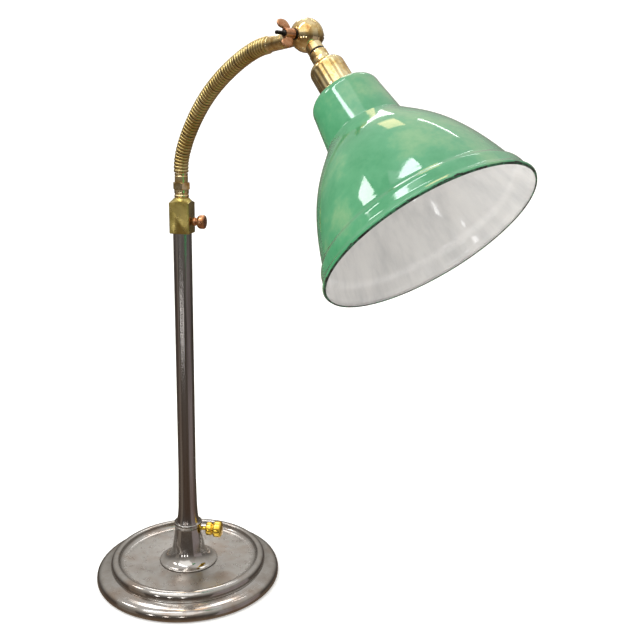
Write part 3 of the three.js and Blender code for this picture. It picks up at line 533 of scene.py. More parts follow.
def prism(name, corners, start, end):
    rings = [[(x, y, start) for x, y in corners], [(x, y, end) for x, y in corners]]
    return new_piece(name, mesh_of(name, skinned(rings, caps=True)))


def bar(name, left, right, width, start, end):
    half = width / 2
    return prism(name, [(left, -half), (right, -half), (right, half), (left, half)], start, end)


def apply_modifiers(piece, smooth=40):
    bpy.context.view_layer.update()
    graph = bpy.context.evaluated_depsgraph_get()
    mesh = bpy.data.meshes.new_from_object(piece.evaluated_get(graph))
    piece.modifiers.clear()
    piece.data = mesh
    mesh.shade_smooth()
    mesh.set_sharp_from_angle(angle=math.radians(smooth))


def combined(target, tool, operation):
    """The target joined to, cut or limited by a tool that is used up."""
    change = target.modifiers.new(operation.title(), "BOOLEAN")
    change.operation = operation
    change.solver = "EXACT"
    change.object = tool
    apply_modifiers(target)
    bpy.data.objects.remove(tool)
    return target


def soften(piece, width=0.3, segments=2, angle=35):
    """Buffed edges on a piece that was cut or milled."""
    edge = piece.modifiers.new("Edges", "BEVEL")
    edge.width = width * MM
    edge.segments = segments
    edge.limit_method = "ANGLE"
    edge.angle_limit = math.radians(angle)
    edge.harden_normals = True
    apply_modifiers(piece, 50)


def finish_piece(piece, body, replaced, slot, *materials):
    for material in materials:
        piece.data.materials.append(material)
    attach(piece, body)
    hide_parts(replaced)


# Places


def rotation(degrees, axis):
    return Matrix.Rotation(math.radians(degrees), 4, axis)


def sideways(screw):
    """The place of a piece modelled along +Z that points out along a screw's axis."""
    axis = Vector(screw["axis"])
    return Matrix.Translation(Vector(screw["pos_m"])) @ axis.to_track_quat("Z", "Y").to_matrix().to_4x4()


def head_place():
    """+Z down the shade's axis from the ball's centre, +Y across the arm."""
    across = Vector((0, 1, 0))
    turn = Matrix((across.cross(HEAD_AXIS), across, HEAD_AXIS)).transposed()
    return Matrix.Translation(BALL * MM) @ turn.to_4x4()


def screw_place():
    """+Z along the knuckle screw, towards the wing nut."""
    return Matrix.Translation(BALL * MM) @ rotation(90, "X")


def hose_at(distance):
    """The centreline's point and its angle from upright, in the arm's plane."""
    x, z, angle, left = 0.0, HOSE_FOOT, 0.0, distance
    last = len(HOSE_BENDS) - 1
    along_axis = [(HOSE_STRAIGHT, 0.0)]
    for index, degrees in enumerate(HOSE_BENDS):
        along_axis.append((HOSE_EACH - (HOSE_STRAIGHT if index in (0, last) else 0), math.radians(degrees)))
    for run_length, turn in along_axis:
        run = min(left, run_length)
        if run <= 0:
            break
        bend = turn * run / run_length
        chord = run if bend == 0 else 2 * run_length * math.sin(bend / 2) / turn
        x += chord * math.sin(angle + bend / 2)
        z += chord * math.cos(angle + bend / 2)
        angle += bend
        left -= run
    return x + left * math.sin(angle), z + left * math.cos(angle), angle


def hose_end_place():
    """+Z along the gooseneck from the end of its ribs."""
    x, z, angle = hose_at(HOSE_EACH * len(HOSE_BENDS))
    return Matrix.Translation(Vector((x, 0, z)) * MM) @ Matrix.Rotation(angle, 4, "Y")


# Materials


def tint(value):
    """The colour of a stop: a hex colour, a grey or a colour from the settings."""
    if isinstance(value, str):
        return rgba(value)
    return grey(value) if isinstance(value, float) else value


def node(tree, kind, settings=None, stops=(), output=0):
    """Adds a node and returns an output. In its settings an output is linked and a value is set."""
    made = tree.nodes.new(kind)
    for key, value in (settings or {}).items():
        if isinstance(value, bpy.types.NodeSocket):
            tree.links.new(value, made.inputs[key])
        elif isinstance(key, int) or key in made.inputs:
            made.inputs[key].default_value = value
        else:
            setattr(made, key, value)
    elements = made.color_ramp.elements if stops else []
    while len(elements) < len(stops):
        elements.new(0.5)
    for element, (position, value) in zip(elements, stops):
        element.position = position
        element.color = tint(value)
    return made.outputs[output] if made.outputs else made


def grain(place, millimetres, detail=4.0, rough=0.55):
    """The settings of a noise whose features measure so many millimetres."""
    return {"Vector": place, "Scale": 1 / (millimetres * MM), "Detail": detail, "Roughness": rough}


def relief(height, depth, amount):
    """The settings of a bump that is so many millimetres deep."""
    return {"Height": height, "Distance": depth * MM, "Strength": amount}


def span(value, start, end):
    """The settings that turn a length to 0 at one place and 1 at another, both in millimetres."""
    return {"Value": value, "From Min": start * MM, "From Max": end * MM}


def over(under, upper, share, kind="MIX"):
    """The settings of a mix that lays one colour over another."""
    return {"data_type": "RGBA", "blend_type": kind, 0: share, 6: under, 7: upper}


def material_of(name, surface_of):
    """The material of a name, made on its first use from what its surface shader is set to."""
    material = bpy.data.materials.get(name)
    if material is None:
        material = bpy.data.materials.new(name)
        material.use_nodes = True
        tree = material.node_tree
        tree.nodes.clear()
        place = node(tree, "ShaderNodeTexCoord", output="Object")
        surface = node(tree, "ShaderNodeBsdfPrincipled", surface_of(tree, place))
        node(tree, "ShaderNodeOutputMaterial", {"Surface": surface})
    return material


def spun_polished_steel():
    """Mild steel spun over a former and polished: a dark mirror on its rings, satin in its dish."""

    def surface(tree, place):
        flat = node(tree, "ShaderNodeVectorMath", {"operation": "MULTIPLY", 0: place, 1: (1, 1, 0)})
        radius = node(tree, "ShaderNodeVectorMath", {"operation": "LENGTH", 0: flat}, output="Value")
        height = node(tree, "ShaderNodeSeparateXYZ", {"Vector": place}, output="Z")
        # The dish was left satin between the neck's toe and the rim.
        outward = node(tree, "ShaderNodeMapRange", span(radius, NECK_FOOT - 1, NECK_FOOT + 1))
        inward = node(tree, "ShaderNodeMapRange", span(radius, RIM_INNER[0], DISH_EDGE[0] - 1))
        dish = node(tree, "ShaderNodeMath", {"operation": "MULTIPLY", 0: outward, 1: inward})
        smudge = node(tree, "ShaderNodeTexNoise", grain(place, 9, 6, 0.65))
        gloss = node(tree, "ShaderNodeValToRGB", {"Fac": smudge}, ((0.3, 0.07), (0.75, 0.2)))
        satin = {"operation": "MULTIPLY_ADD", 0: dish, 1: 0.17, 2: gloss}
        cloud = node(tree, "ShaderNodeTexNoise", grain(place, 30, 5))
        tones = ((0.3, "a39b94"), (0.5, paint("steel")), (0.7, "a5988d"))
        # Lathe rings are 0.2 mm apart on the real base and drawn at 2 mm to show.
        rings = node(tree, "ShaderNodeCombineXYZ", {0: radius, 1: height})
        marks = node(tree, "ShaderNodeTexNoise", grain(rings, 2, 2))
        return {
            "Metallic": 1.0,
            "Base Color": node(tree, "ShaderNodeValToRGB", {"Fac": cloud}, tones),
            "Roughness": node(tree, "ShaderNodeMath", satin),
            "Normal": node(tree, "ShaderNodeBump", relief(marks, 0.02, 0.25)),
        }

    return material_of("spun_polished_steel", surface)


def drawn_steel_tube():
    """Cold drawn tube, polished along its length: long streaks and brown age tints."""

    def surface(tree, place):
        along = node(tree, "ShaderNodeMapping", {"Scale": (1, 1, 0.03), "Vector": place})
        streaks = node(tree, "ShaderNodeTexNoise", grain(along, 6))
        tones = ((0.32, "8a8480"), (0.5, paint("tube")), (0.7, "94857c"))
        wear = node(tree, "ShaderNodeTexNoise", grain(along, 3, 6))
        # Polishing marks run along the tube, 0.3 mm apart and drawn at 0.5 mm.
        marks = node(tree, "ShaderNodeTexNoise", grain(along, 0.5, 2))
        return {
            "Metallic": 1.0,
            "Base Color": node(tree, "ShaderNodeValToRGB", {"Fac": streaks}, tones),
            "Roughness": node(tree, "ShaderNodeValToRGB", {"Fac": wear}, ((0.3, 0.13), (0.8, 0.28))),
            "Normal": node(tree, "ShaderNodeBump", relief(marks, 0.01, 0.25)),
        }

    return material_of("drawn_steel_tube", surface)


def polished(name, light, deep, brown, rough):
    """A copper alloy with a polish: light where it was rubbed, with brown tarnish left in patches."""

    def surface(tree, place):
        patches = node(tree, "ShaderNodeTexNoise", grain(place, 9, 5, 0.6))
        tones = ((0.27, brown), (0.42, deep), (0.58, light))
        wear = node(tree, "ShaderNodeTexNoise", grain(place, 4, 5))
        dents = node(tree, "ShaderNodeTexNoise", grain(place, 1.6, 3))
        return {
            "Metallic": 1.0,
            "Base Color": node(tree, "ShaderNodeValToRGB", {"Fac": patches}, tones),
            "Roughness": node(tree, "ShaderNodeValToRGB", {"Fac": wear}, ((0.3, rough[0]), (0.75, rough[1]))),
            "Normal": node(tree, "ShaderNodeBump", relief(dents, 0.015, 0.25)),
        }

    return material_of(name, surface)


def polished_brass():
    """Brass turned from bar and polished: a pale warm mirror."""
    return polished("turned_polished_brass", paint("brass"), "d9b877", "a8743f", (0.07, 0.2))


def aged_block_brass():
    """Brass milled from bar and left to dull: olive and satin."""
    return polished("milled_dull_brass", paint("block_brass"), "b9a75e", "a8944c", (0.26, 0.34))


def bright_brass():
    """Lacquered yellow brass of the newer thumb screw: clean, saturated mirror."""
    return polished("lacquered_yellow_brass", paint("yellow_brass"), "e8c048", "c89a34", (0.08, 0.18))


def coppery_brass():
    """Cast gunmetal, rich in copper: pinkish brown and softly worn."""
    return polished("cast_gunmetal", paint("gunmetal"), "ba8058", "7e4e30", (0.2, 0.36))


def gooseneck_brass():
    """Brass strip wound into a hose: bright worn crests, olive flanks, dark brown down in the grooves."""

    def surface(tree, place):
        # Lighter on the ribs' crests and dark brown where the surface turns down into the grooves, set by how
        # sharply it bends.
        crest = node(tree, "ShaderNodeNewGeometry", output="Pointiness")
        tones = ((0.45, "4a3c1e"), (0.495, "bca665"), (0.55, paint("hose_brass")))
        crest_to_groove = node(tree, "ShaderNodeValToRGB", {"Fac": crest}, tones)
        cloud = node(tree, "ShaderNodeTexNoise", grain(place, 18))
        age = node(tree, "ShaderNodeValToRGB", {"Fac": cloud}, ((0.3, "d8c79c"), (0.65, "ffffff")))
        wear = node(tree, "ShaderNodeTexNoise", grain(place, 3))
        return {
            "Metallic": 1.0,
            "Base Color": node(tree, "ShaderNodeMix", over(crest_to_groove, age, 1.0, "MULTIPLY"), output=2),
            "Roughness": node(tree, "ShaderNodeValToRGB", {"Fac": wear}, ((0.3, 0.26), (0.75, 0.36))),
        }

    return material_of("wound_brass_strip", surface)


def green_enamel():
    """Vitreous enamel fired on steel: deep glassy green, mottled, with pinholes and iron bared at the rim."""

    def surface(tree, place):
        cloud = node(tree, "ShaderNodeTexNoise", grain(place, 42, 5, 0.62))
        tones = ((0.28, "37935f"), (0.5, paint("enamel")), (0.72, "86b684"))
        green = node(tree, "ShaderNodeValToRGB", {"Fac": cloud}, tones)
        dots = node(tree, "ShaderNodeTexNoise", grain(place, 1.3, 2))
        pinholes = node(tree, "ShaderNodeValToRGB", {"Fac": dots}, ((0.22, 0.62), (0.32, 1.0)))
        glaze = node(tree, "ShaderNodeMix", over(green, pinholes, 0.4, "MULTIPLY"), output=2)
        # Chips follow the lip, where the last 6 mm of the shade meet a bench.
        height = node(tree, "ShaderNodeSeparateXYZ", {"Vector": place}, output="Z")
        edge = node(tree, "ShaderNodeMapRange", span(height, RIM_DISTANCE - 6.5, RIM_DISTANCE - 0.5))
        knocks = node(tree, "ShaderNodeTexNoise", grain(place, 13, 7, 0.7))
        chips = node(tree, "ShaderNodeMath", {"operation": "MULTIPLY", 0: edge, 1: knocks})
        bare = node(tree, "ShaderNodeValToRGB", {"Fac": chips}, ((0.45, 0.0), (0.5, 1.0)))
        # The fired glass is uneven over about 15 mm, which bends its reflections.
        waves = node(tree, "ShaderNodeTexNoise", grain(place, 15, 3))
        return {
            "IOR": 1.52,
            "Coat Weight": 0.6,
            "Coat Roughness": 0.03,
            "Coat IOR": 1.5,
            "Base Color": node(tree, "ShaderNodeMix", over(glaze, rgba("1a1512"), bare), output=2),
            "Roughness": node(tree, "ShaderNodeValToRGB", {"Fac": bare}, ((0.0, 0.08), (1.0, 0.7))),
            "Normal": node(tree, "ShaderNodeBump", relief(waves, 0.3, 0.4)),
        }

    return material_of("vitreous_enamel_green", surface)


def white_enamel():
    """White vitreous enamel inside the shade: glossy, with faint painted reflection streaks along its axis.
    """

    def surface(tree, place):
        # Painted reflection: lighter and darker streaks stretched along the shade's axis, like windows seen
        # in the glossy lining.
        along_axis = node(tree, "ShaderNodeMapping", {"Scale": (1, 1, 0.18), "Vector": place})
        painted_streaks = node(tree, "ShaderNodeTexNoise", grain(along_axis, 16, 5, 0.6))
        tones = ((0.3, "d6d6d6"), (0.55, paint("lining")), (0.8, "f1f0ee"))
        white = node(tree, "ShaderNodeValToRGB", {"Fac": painted_streaks}, tones)
        dots = node(tree, "ShaderNodeTexNoise", grain(place, 2.2, 2))
        specks = node(tree, "ShaderNodeValToRGB", {"Fac": dots}, ((0.2, 0.5), (0.28, 1.0)))
        wear = node(tree, "ShaderNodeTexNoise", grain(place, 10))
        waves = node(tree, "ShaderNodeTexNoise", grain(along_axis, 12, 3))
        return {
            "IOR": 1.52,
            "Coat Weight": 0.4,
            "Coat Roughness": 0.05,
            "Base Color": node(tree, "ShaderNodeMix", over(white, specks, 0.4, "MULTIPLY"), output=2),
            "Roughness": node(tree, "ShaderNodeValToRGB", {"Fac": wear}, ((0.3, 0.06), (0.8, 0.16))),
            "Normal": node(tree, "ShaderNodeBump", relief(waves, 0.3, 0.45)),
        }

    return material_of("vitreous_enamel_white", surface)


def bare_lip():
    """The shade's cut edge, where the enamel has chipped to black fired iron."""

    def surface(tree, place):
        chips = node(tree, "ShaderNodeTexNoise", grain(place, 6, 6, 0.7))
        tones = ((0.42, "14110f"), (0.5, "1f3a2b"), (0.6, "2f6a4a"))
        pits = node(tree, "ShaderNodeTexNoise", grain(place, 2))
        return {
            "Roughness": 0.45,
            "Base Color": node(tree, "ShaderNodeValToRGB", {"Fac": chips}, tones),
            "Normal": node(tree, "ShaderNodeBump", relief(pits, 0.2, 0.5)),
        }

    return material_of("chipped_enamel_edge", surface)


def plain_surface(name, dark, light, millimetres, depth, settings):
    """A matt, moulded or cast surface: two colours and a bump, both of one grain."""

    def surface(tree, place):
        pattern = node(tree, "ShaderNodeTexNoise", grain(place, millimetres, 5, 0.6))
        tones = ((0.35, dark), (0.7, light))
        color = node(tree, "ShaderNodeValToRGB", {"Fac": pattern}, tones)
        normal = node(tree, "ShaderNodeBump", relief(pattern, depth, 0.5))
        return {"Base Color": color, "Normal": normal, **settings}

    return material_of(name, surface)


def cast_iron():
    """Sand-cast iron: dark grey, grainy and dull."""
    return plain_surface("sand_cast_iron", "2a2828", "474444", 1.5, 0.4, {"Metallic": 0.8, "Roughness": 0.7})


def pressed_felt():
    """Pressed wool felt: matt green with a short nap."""
    settings = {"Roughness": 0.95, "Sheen Weight": 0.6}
    return plain_surface("pressed_wool_felt", "26382c", "3a5142", 1.2, 0.5, settings)


def moulded_rubber():
    """Moulded black rubber: even, dull, with a slight bloom."""
    return plain_surface("moulded_rubber", "171615", "242221", 3, 0.05, {"Roughness": 0.6})


def vulcanised_fibre():
    """Vulcanised fibre: hard, nearly black, with a dull sheen."""
    return plain_surface("vulcanised_fibre", "120f0c", "241c16", 1.5, 0.05, {"Roughness": 0.42})


def glazed_porcelain():
    """Glazed porcelain: smooth creamy white with a glassy top."""
    settings = {"Roughness": 0.14, "Coat Weight": 0.5, "IOR": 1.5}
    return plain_surface("glazed_porcelain", "e6e0d4", "f3efe6", 8, 0.08, settings)


def blackened_steel():
    """Oil-blackened steel: dark with a faint shine on its edges."""
    settings = {"Metallic": 1.0, "Roughness": 0.34}
    return plain_surface("oil_blackened_steel", "231f1d", "4b4541", 2, 0.05, settings)


def opal_glass():
    """Blown opal glass: milky white under a clear gloss."""
    settings = {"Roughness": 0.12, "IOR": 1.5, "Subsurface Weight": 0.3, "Coat Weight": 0.5}
    return plain_surface("blown_opal_glass", "e9e5dc", "f6f4ee", 14, 0.05, settings)


def braided_cotton():
    """Cotton braided over the flex: brown threads 0.6 mm apart and drawn at 2.4 mm, matt."""

    def surface(tree, place):
        bands = {"wave_type": "BANDS", "bands_direction": "DIAGONAL", "Distortion": 1.0, "Vector": place}
        bands["Scale"] = 1 / (2.4 * MM * 2 * math.pi)
        braid = node(tree, "ShaderNodeTexWave", bands, output="Fac")
        tones = ((0.3, "4c331b"), (0.7, paint("braid")))
        return {
            "Roughness": 0.9,
            "Sheen Weight": 0.3,
            "Base Color": node(tree, "ShaderNodeValToRGB", {"Fac": braid}, tones),
            "Normal": node(tree, "ShaderNodeBump", relief(braid, 0.2, 0.6)),
        }

    return material_of("braided_cotton", surface)


def matt_paper():
    """Matt paper sweep behind the lamp, lit a little from within so that it stays white."""

    def surface(tree, place):
        mottle = node(tree, "ShaderNodeTexNoise", grain(place, 4, 3))
        tones = ((0.3, "f2f2f0"), (0.7, "f6f6f4"))
        return {
            "Roughness": 0.9,
            "Specular IOR Level": 0.2,
            "Emission Color": rgba("ffffff"),
            "Emission Strength": 0.3,
            "Base Color": node(tree, "ShaderNodeValToRGB", {"Fac": mottle}, tones),
        }

    return material_of("matt_paper_sweep", surface)


# Base


def shell_outline(wall):
    base_radius = widest("base_shell")
    foot_radius, foot_height = SHELL_FOOT
    outside = (
        Outline(foot_radius, foot_height)
        .curve(base_radius, foot_height, base_radius, FLANGE_WAIST)
        .curve(base_radius, FLANGE_SHOULDER[1], *FLANGE_SHOULDER)
        .line(*GROOVE)
        .line(*RING)
        .curve(RING[0], RIM[1], *RIM)
        .curve(RIM_INNER[0], RIM[1], *RIM_INNER, steps=6)
        .curve(RIM_INNER[0], DISH_EDGE[1], *DISH_EDGE)
        .line(DISH_HOLE, DISH_EDGE[1])
    )
    corners = eased(outside.corners, SHELL_ROUND, closed=False)
    return corners + offset(corners, wall)[::-1]


def neck_outline():
    bottom = DISH_EDGE[1] + CLEARANCE
    toe = bottom + NECK_TOE
    top = top_of("neck_casting")
    collar_bottom = top - COLLAR_LENGTH
    bore = COLLAR_RADIUS - COLLAR_LIP
    cone_radius, cone_height = NECK_CONE
    return (
        Outline(SPIGOT_RADIUS, foot_of("neck_casting"))
        .line(SPIGOT_RADIUS, bottom)
        .line(NECK_FOOT, bottom)
        .curve(NECK_FOOT, toe, NECK_FOOT - NECK_TOE_INSET, toe)
        .curve(cone_radius + 2 * NECK_TOE_INSET, toe + NECK_SWEEP, cone_radius, cone_height, steps=24)
        .curve(NECK_RADIUS + NECK_LEAN, (cone_height + NECK_FLARE) / 2, NECK_RADIUS, NECK_FLARE)
        .line(NECK_RADIUS, collar_bottom)
        .curve(COLLAR_RADIUS, collar_bottom, COLLAR_RADIUS, (collar_bottom + top) / 2)
        .curve(COLLAR_RADIUS, top, (COLLAR_RADIUS + bore) / 2, top)
        .line(bore, top - COLLAR_RECESS)
        .line(STEM_RADIUS + CLEARANCE, top - COLLAR_RECESS)
        .line(STEM_RADIUS + CLEARANCE, STEM_SEAT)
        .line(FLEX_BORE, STEM_SEAT)
        .line(FLEX_BORE, foot_of("neck_casting"))
    )


def stem_outline(wall):
    bottom, top = STEM_SEAT + CLEARANCE, top_of("stem_tube")
    flare = top_of("neck_casting") - COLLAR_RECESS + CLEARANCE
    swell = flare + STEM_SWELL[1]
    return (
        Outline(STEM_RADIUS - wall, bottom)
        .line(STEM_RADIUS, bottom)
        .line(STEM_RADIUS, flare)
        .line(STEM_FLARE, flare)
        .curve(STEM_FLARE_LEAN[0], flare + STEM_FLARE_LEAN[1], STEM_SWELL[0], swell)
        .line(STEM_RADIUS, swell + STEM_SWELL_LENGTH)
        .line(STEM_RADIUS, top)
        .line(STEM_RADIUS - wall, top)
    )


class DESKLAMP_OT_base(bpy.types.Operator):
    """Spun steel base shell with its dished top, and the trumpet neck that stands in it"""

    bl_idname = "desklamp.base"
    bl_label = "Base and neck"

    def execute(self, context):
        steel = spun_polished_steel()
        shell = turned("base_shell_spun", shell_outline(size("shell_wall")), WIDE_SIDES, 0.2)
        low, high = (in_mm(corner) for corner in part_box("cord_inlet_bush"))
        reach = (high.z - low.z) / 2 + CLEARANCE
        notch = tube("notch", reach, 0, low.x - OVERRUN, high.x + OVERRUN, SMALL_SIDES)
        notch.matrix_world = Matrix.Translation((0, 0, (low.z + high.z) / 2 * MM)) @ rotation(90, "Y")
        combined(shell, notch, "DIFFERENCE")
        finish_piece(shell, "base", "base_shell", "polished_steel", steel)
        neck = turned("neck_trumpet", neck_outline(), MIDDLE_SIDES * 2, 0.5)
        finish_piece(neck, "base", "neck_casting", "polished_steel", steel)
        return {"FINISHED"}


class DESKLAMP_OT_stem(bpy.types.Operator):
    """Drawn steel stem with its flared foot"""

    bl_idname = "desklamp.stem"
    bl_label = "Stem"

    def execute(self, context):
        stem = turned("stem_drawn", stem_outline(size("stem_wall")), MIDDLE_SIDES, 0.3)
        finish_piece(stem, "stem", "stem_tube", "polished_steel", drawn_steel_tube())
        return {"FINISHED"}


def knob_outline(radius):
    """The neck's thumb screw: a rounded collar, a narrow waist and a crowned knob."""
    collar, collar_length = KNOB_COLLAR
    tip = STEM_FLARE + CLEARANCE
    waist = KNOB_START + collar_length
    waist_radius = collar - KNOB_WAIST[0]
    end = KNOB_START + KNOB_LENGTH
    return (
        Outline(0, tip)
        .line(SHANK_RADIUS, tip)
        .line(SHANK_RADIUS, KNOB_START)
        .line(collar - KNOB_COLLAR_ROUND[0], KNOB_START)
        .curve(collar, KNOB_START, collar, KNOB_START + KNOB_COLLAR_ROUND[1])
        .line(collar, waist - KNOB_COLLAR_END)
        .curve(collar, waist, waist_radius, waist, steps=6)
        .line(waist_radius, waist + KNOB_WAIST[1])
        .curve(radius, waist + KNOB_SWELL[0], radius, waist + KNOB_SWELL[1])
        .line(radius, end - KNOB_CROWN[1])
        .curve(radius, end - KNOB_CROWN_DROPS[0], radius - KNOB_CROWN[0], end - KNOB_CROWN_DROPS[1])
        .line(0, end)
    )


def small_screw_outline():
    """The block's thumb screw: a bead, a waist and a barrel-shaped head."""
    bead = BLOCK_SIDE / 2 + CLEARANCE
    bead_end = bead + BEAD[1]
    head = bead_end + SMALL_WAIST[1]
    edge = head + SMALL_HEAD_LENGTH
    lean, flat, top = (edge + rise for rise in SMALL_CROWN_RISES)
    return (
        Outline(0, STEM_RADIUS + CLEARANCE)
        .line(SHANK_RADIUS, STEM_RADIUS + CLEARANCE)
        .line(SHANK_RADIUS, bead)
        .curve(BEAD[0], bead, BEAD[0], (bead + bead_end) / 2)
        .curve(BEAD[0], bead_end, SMALL_WAIST[0], bead_end)
        .line(SMALL_WAIST[0], head)
        .line(SMALL_HEAD_FOOT, head)
        .curve(SMALL_HEAD_LEAN[0], head + SMALL_HEAD_LEAN[1], SMALL_HEAD_EDGE[0], head + SMALL_HEAD_EDGE[1])
        .line(SMALL_HEAD_EDGE[0], edge)
        .curve(SMALL_HEAD_EDGE[0], lean, SMALL_CROWN, flat)
        .line(0, top)
    )


class DESKLAMP_OT_thumb_screws(bpy.types.Operator):
    """The thumb screws of the neck and of the clamp block"""

    bl_idname = "desklamp.thumb_screws"
    bl_label = "Thumb screws"

    def execute(self, context):
        outline = knob_outline(size("knob_radius"))
        knob = turned("neck_knob", outline, MIDDLE_SIDES, 0.3, False, sideways(BASE_SCREW))
        finish_piece(knob, "base_screw", "base_thumb_screw", "yellow_brass", bright_brass())
        small = turned("block_knob", small_screw_outline(), MIDDLE_SIDES, 0.35, False, sideways(BLOCK_SCREW))
        finish_piece(small, "block_screw", "block_thumb_screw", "copper_brown", coppery_brass())
        return {"FINISHED"}


class DESKLAMP_OT_clamp_block(bpy.types.Operator):
    """Square clamp block with its turned top"""

    bl_idname = "desklamp.clamp_block"
    bl_label = "Clamp block"

    def execute(self, context):
        bottom, top = foot_of("clamp_block"), top_of("clamp_block")
        half = BLOCK_SIDE / 2
        corner = half * math.sqrt(2) - BLOCK_CORNER
        lathe = (
            Outline(0, bottom)
            .line(corner - BLOCK_CHAMFER[0], bottom)
            .line(corner, bottom + BLOCK_CHAMFER[1])
            .line(corner, top - BLOCK_TURNED_DROP)
            .curve(half, top - BLOCK_TURNED_WAIST, BLOCK_TURNED_RADIUS, top)
            .line(0, top)
        )
        block = bar("clamp_block_milled", -half, half, BLOCK_SIDE, bottom, top)
        axis = BLOCK_SCREW["axis"]
        block.data.transform(Matrix.Rotation(math.atan2(axis[1], axis[0]), 4, "Z"))
        combined(block, turned("block_lathe", lathe, MIDDLE_SIDES, 0.2, False), "INTERSECT")
        socket_top = top_of("stem_tube") + CLEARANCE
        socket = tube("socket", STEM_RADIUS + CLEARANCE, 0, bottom - OVERRUN, socket_top)
        combined(block, socket, "DIFFERENCE")
        soften(block, 0.45, 3, 30)
        finish_piece(block, "arm_foot", "clamp_block", "polished_brass", aged_block_brass())
        return {"FINISHED"}


def six_sided(corner):
    """The corners of a nut whose flats face along X."""
    turns = [math.radians(60 * k + 30) for k in range(6)]
    return [(corner * math.cos(turn), corner * math.sin(turn)) for turn in turns]


class DESKLAMP_OT_union(bpy.types.Operator):
    """Union body, its nut and the ferrule at the gooseneck's foot"""

    bl_idname = "desklamp.union"
    bl_label = "Union"

    def execute(self, context):
        brass = polished_brass()
        low, high = foot_of("union_body"), top_of("union_body")
        shoulder = foot_of("union_nut") - CLEARANCE
        narrow = UNION_RADIUS - UNION_CHAMFER[0]
        body = Outline(FLEX_BORE, low).line(narrow, low).line(UNION_RADIUS, low + UNION_CHAMFER[1])
        for radius, rise in zip((UNION_RADIUS, narrow, narrow, UNION_RADIUS), UNION_GROOVE):
            body.line(radius, low + rise)
        body.line(UNION_RADIUS, shoulder).line(UNION_SPIGOT, shoulder).line(UNION_SPIGOT, high)
        union = turned("union_turned", body.line(FLEX_BORE, high))
        finish_piece(union, "arm_foot", "union_body", "polished_brass", brass)

        start, end = foot_of("union_nut"), top_of("union_nut")
        across, rise = NUT_CORNER - NUT_CHAMFER[0], NUT_CHAMFER[1]
        lathe = Outline(0, start).line(across, start).line(NUT_CORNER, start + rise)
        lathe.line(NUT_CORNER, end - rise).line(across, end).line(0, end)
        nut = prism("union_nut_milled", six_sided(NUT_CORNER), start, end)
        combined(nut, turned("nut_lathe", lathe, MIDDLE_SIDES, 0.1, False), "INTERSECT")
        inside = FERRULE_FLANGE[0] + CLEARANCE
        combined(nut, tube("nut_bore", inside, 0, start - OVERRUN, end - NUT_TOP_WALL), "DIFFERENCE")
        mouth = FERRULE_RADIUS + CLEARANCE
        combined(nut, tube("nut_mouth", mouth, 0, end - NUT_MOUTH_DEPTH, end + OVERRUN), "DIFFERENCE")
        soften(nut, 0.25, 2, 25)
        finish_piece(nut, "arm_foot", "union_nut", "polished_brass", brass)

        low, high = foot_of("hose_foot_ferrule"), top_of("hose_foot_ferrule")
        bore = HOSE_SPIGOT[0] + CLEARANCE
        outline = (
            Outline(bore, low)
            .line(FERRULE_FLANGE[0], low)
            .line(FERRULE_FLANGE[0], low + FERRULE_FLANGE[1])
            .line(FERRULE_RADIUS, low + FERRULE_FLANGE[1])
            .line(FERRULE_RADIUS, high - FERRULE_GROOVE_DROP)
            .groove(*FERRULE_GROOVE)
            .line(FERRULE_RADIUS, high)
            .line(bore, high)
        )
        ferrule = turned("foot_ferrule", outline)
        finish_piece(ferrule, "arm_foot", "hose_foot_ferrule", "polished_brass", brass)
        return {"FINISHED"}


# Gooseneck


def ring_across(distance, radius, ahead=0.0):
    """A ring square to the centreline at a distance along it, or straight ahead of that point."""
    x, z, angle = hose_at(distance)
    x += ahead * math.sin(angle)
    z += ahead * math.cos(angle)
    ring = []
    for across, side in circle(radius, SMALL_SIDES):
        ring.append((x + across * math.cos(angle), side, z - across * math.sin(angle)))
    return ring


def seat_ring(boundary, radius, turn):
    """A ring on the ball of a seat, at an angle in radians from the centreline."""
    return ring_across(boundary, radius * math.sin(turn), radius * math.cos(turn))


def hose_rings(index, depth):
    """One length of the hose: rounded ribs outside, a ball at its end and a socket at its start."""
    start, end = index * HOSE_EACH, (index + 1) * HOSE_EACH
    first, last = index == 0, index == len(HOSE_BENDS) - 1
    groove = RIB_RADIUS - depth
    spigot, spigot_length = HOSE_SPIGOT
    rings = [ring_across(start - spigot_length, spigot), ring_across(start, spigot)] if first else []
    for step in range(RIBS_EACH * RIB_STEPS):
        share = (step % RIB_STEPS + 0.5) / RIB_STEPS
        if step == 0 and not first:
            rings.append(ring_across(start + JOINT_GAP * 0.6, groove))
        elif step < RIBS_EACH * RIB_STEPS - 1 or last:
            # A rib is a flat crest with round shoulders, so its groove stays narrow.
            bulge = 1 - abs(2 * share - 1) ** RIB_FLATNESS
            along = start + (step // RIB_STEPS + share) * RIB_PITCH
            rings.append(ring_across(along, groove + depth * bulge))
    if last:
        rings += [ring_across(end, spigot), ring_across(end + spigot_length, spigot)]
        rings.append(ring_across(end + spigot_length, FLEX_BORE))
    else:
        rings += [seat_ring(end, SEAT_RADIUS, math.radians(degrees)) for degrees in SEAT_DEGREES]
        rings.append(seat_ring(end, SEAT_RADIUS, math.asin(FLEX_BORE / SEAT_RADIUS)))
    rings.append(ring_across((start + end) / 2, FLEX_BORE))
    if first:
        rings.append(ring_across(start - spigot_length, FLEX_BORE))
    else:
        socket = SEAT_RADIUS + JOINT_GAP
        rings.append(seat_ring(start, socket, math.asin(FLEX_BORE / socket)))
        rings += [seat_ring(start, socket, math.radians(degrees)) for degrees in SOCKET_DEGREES]
    return rings


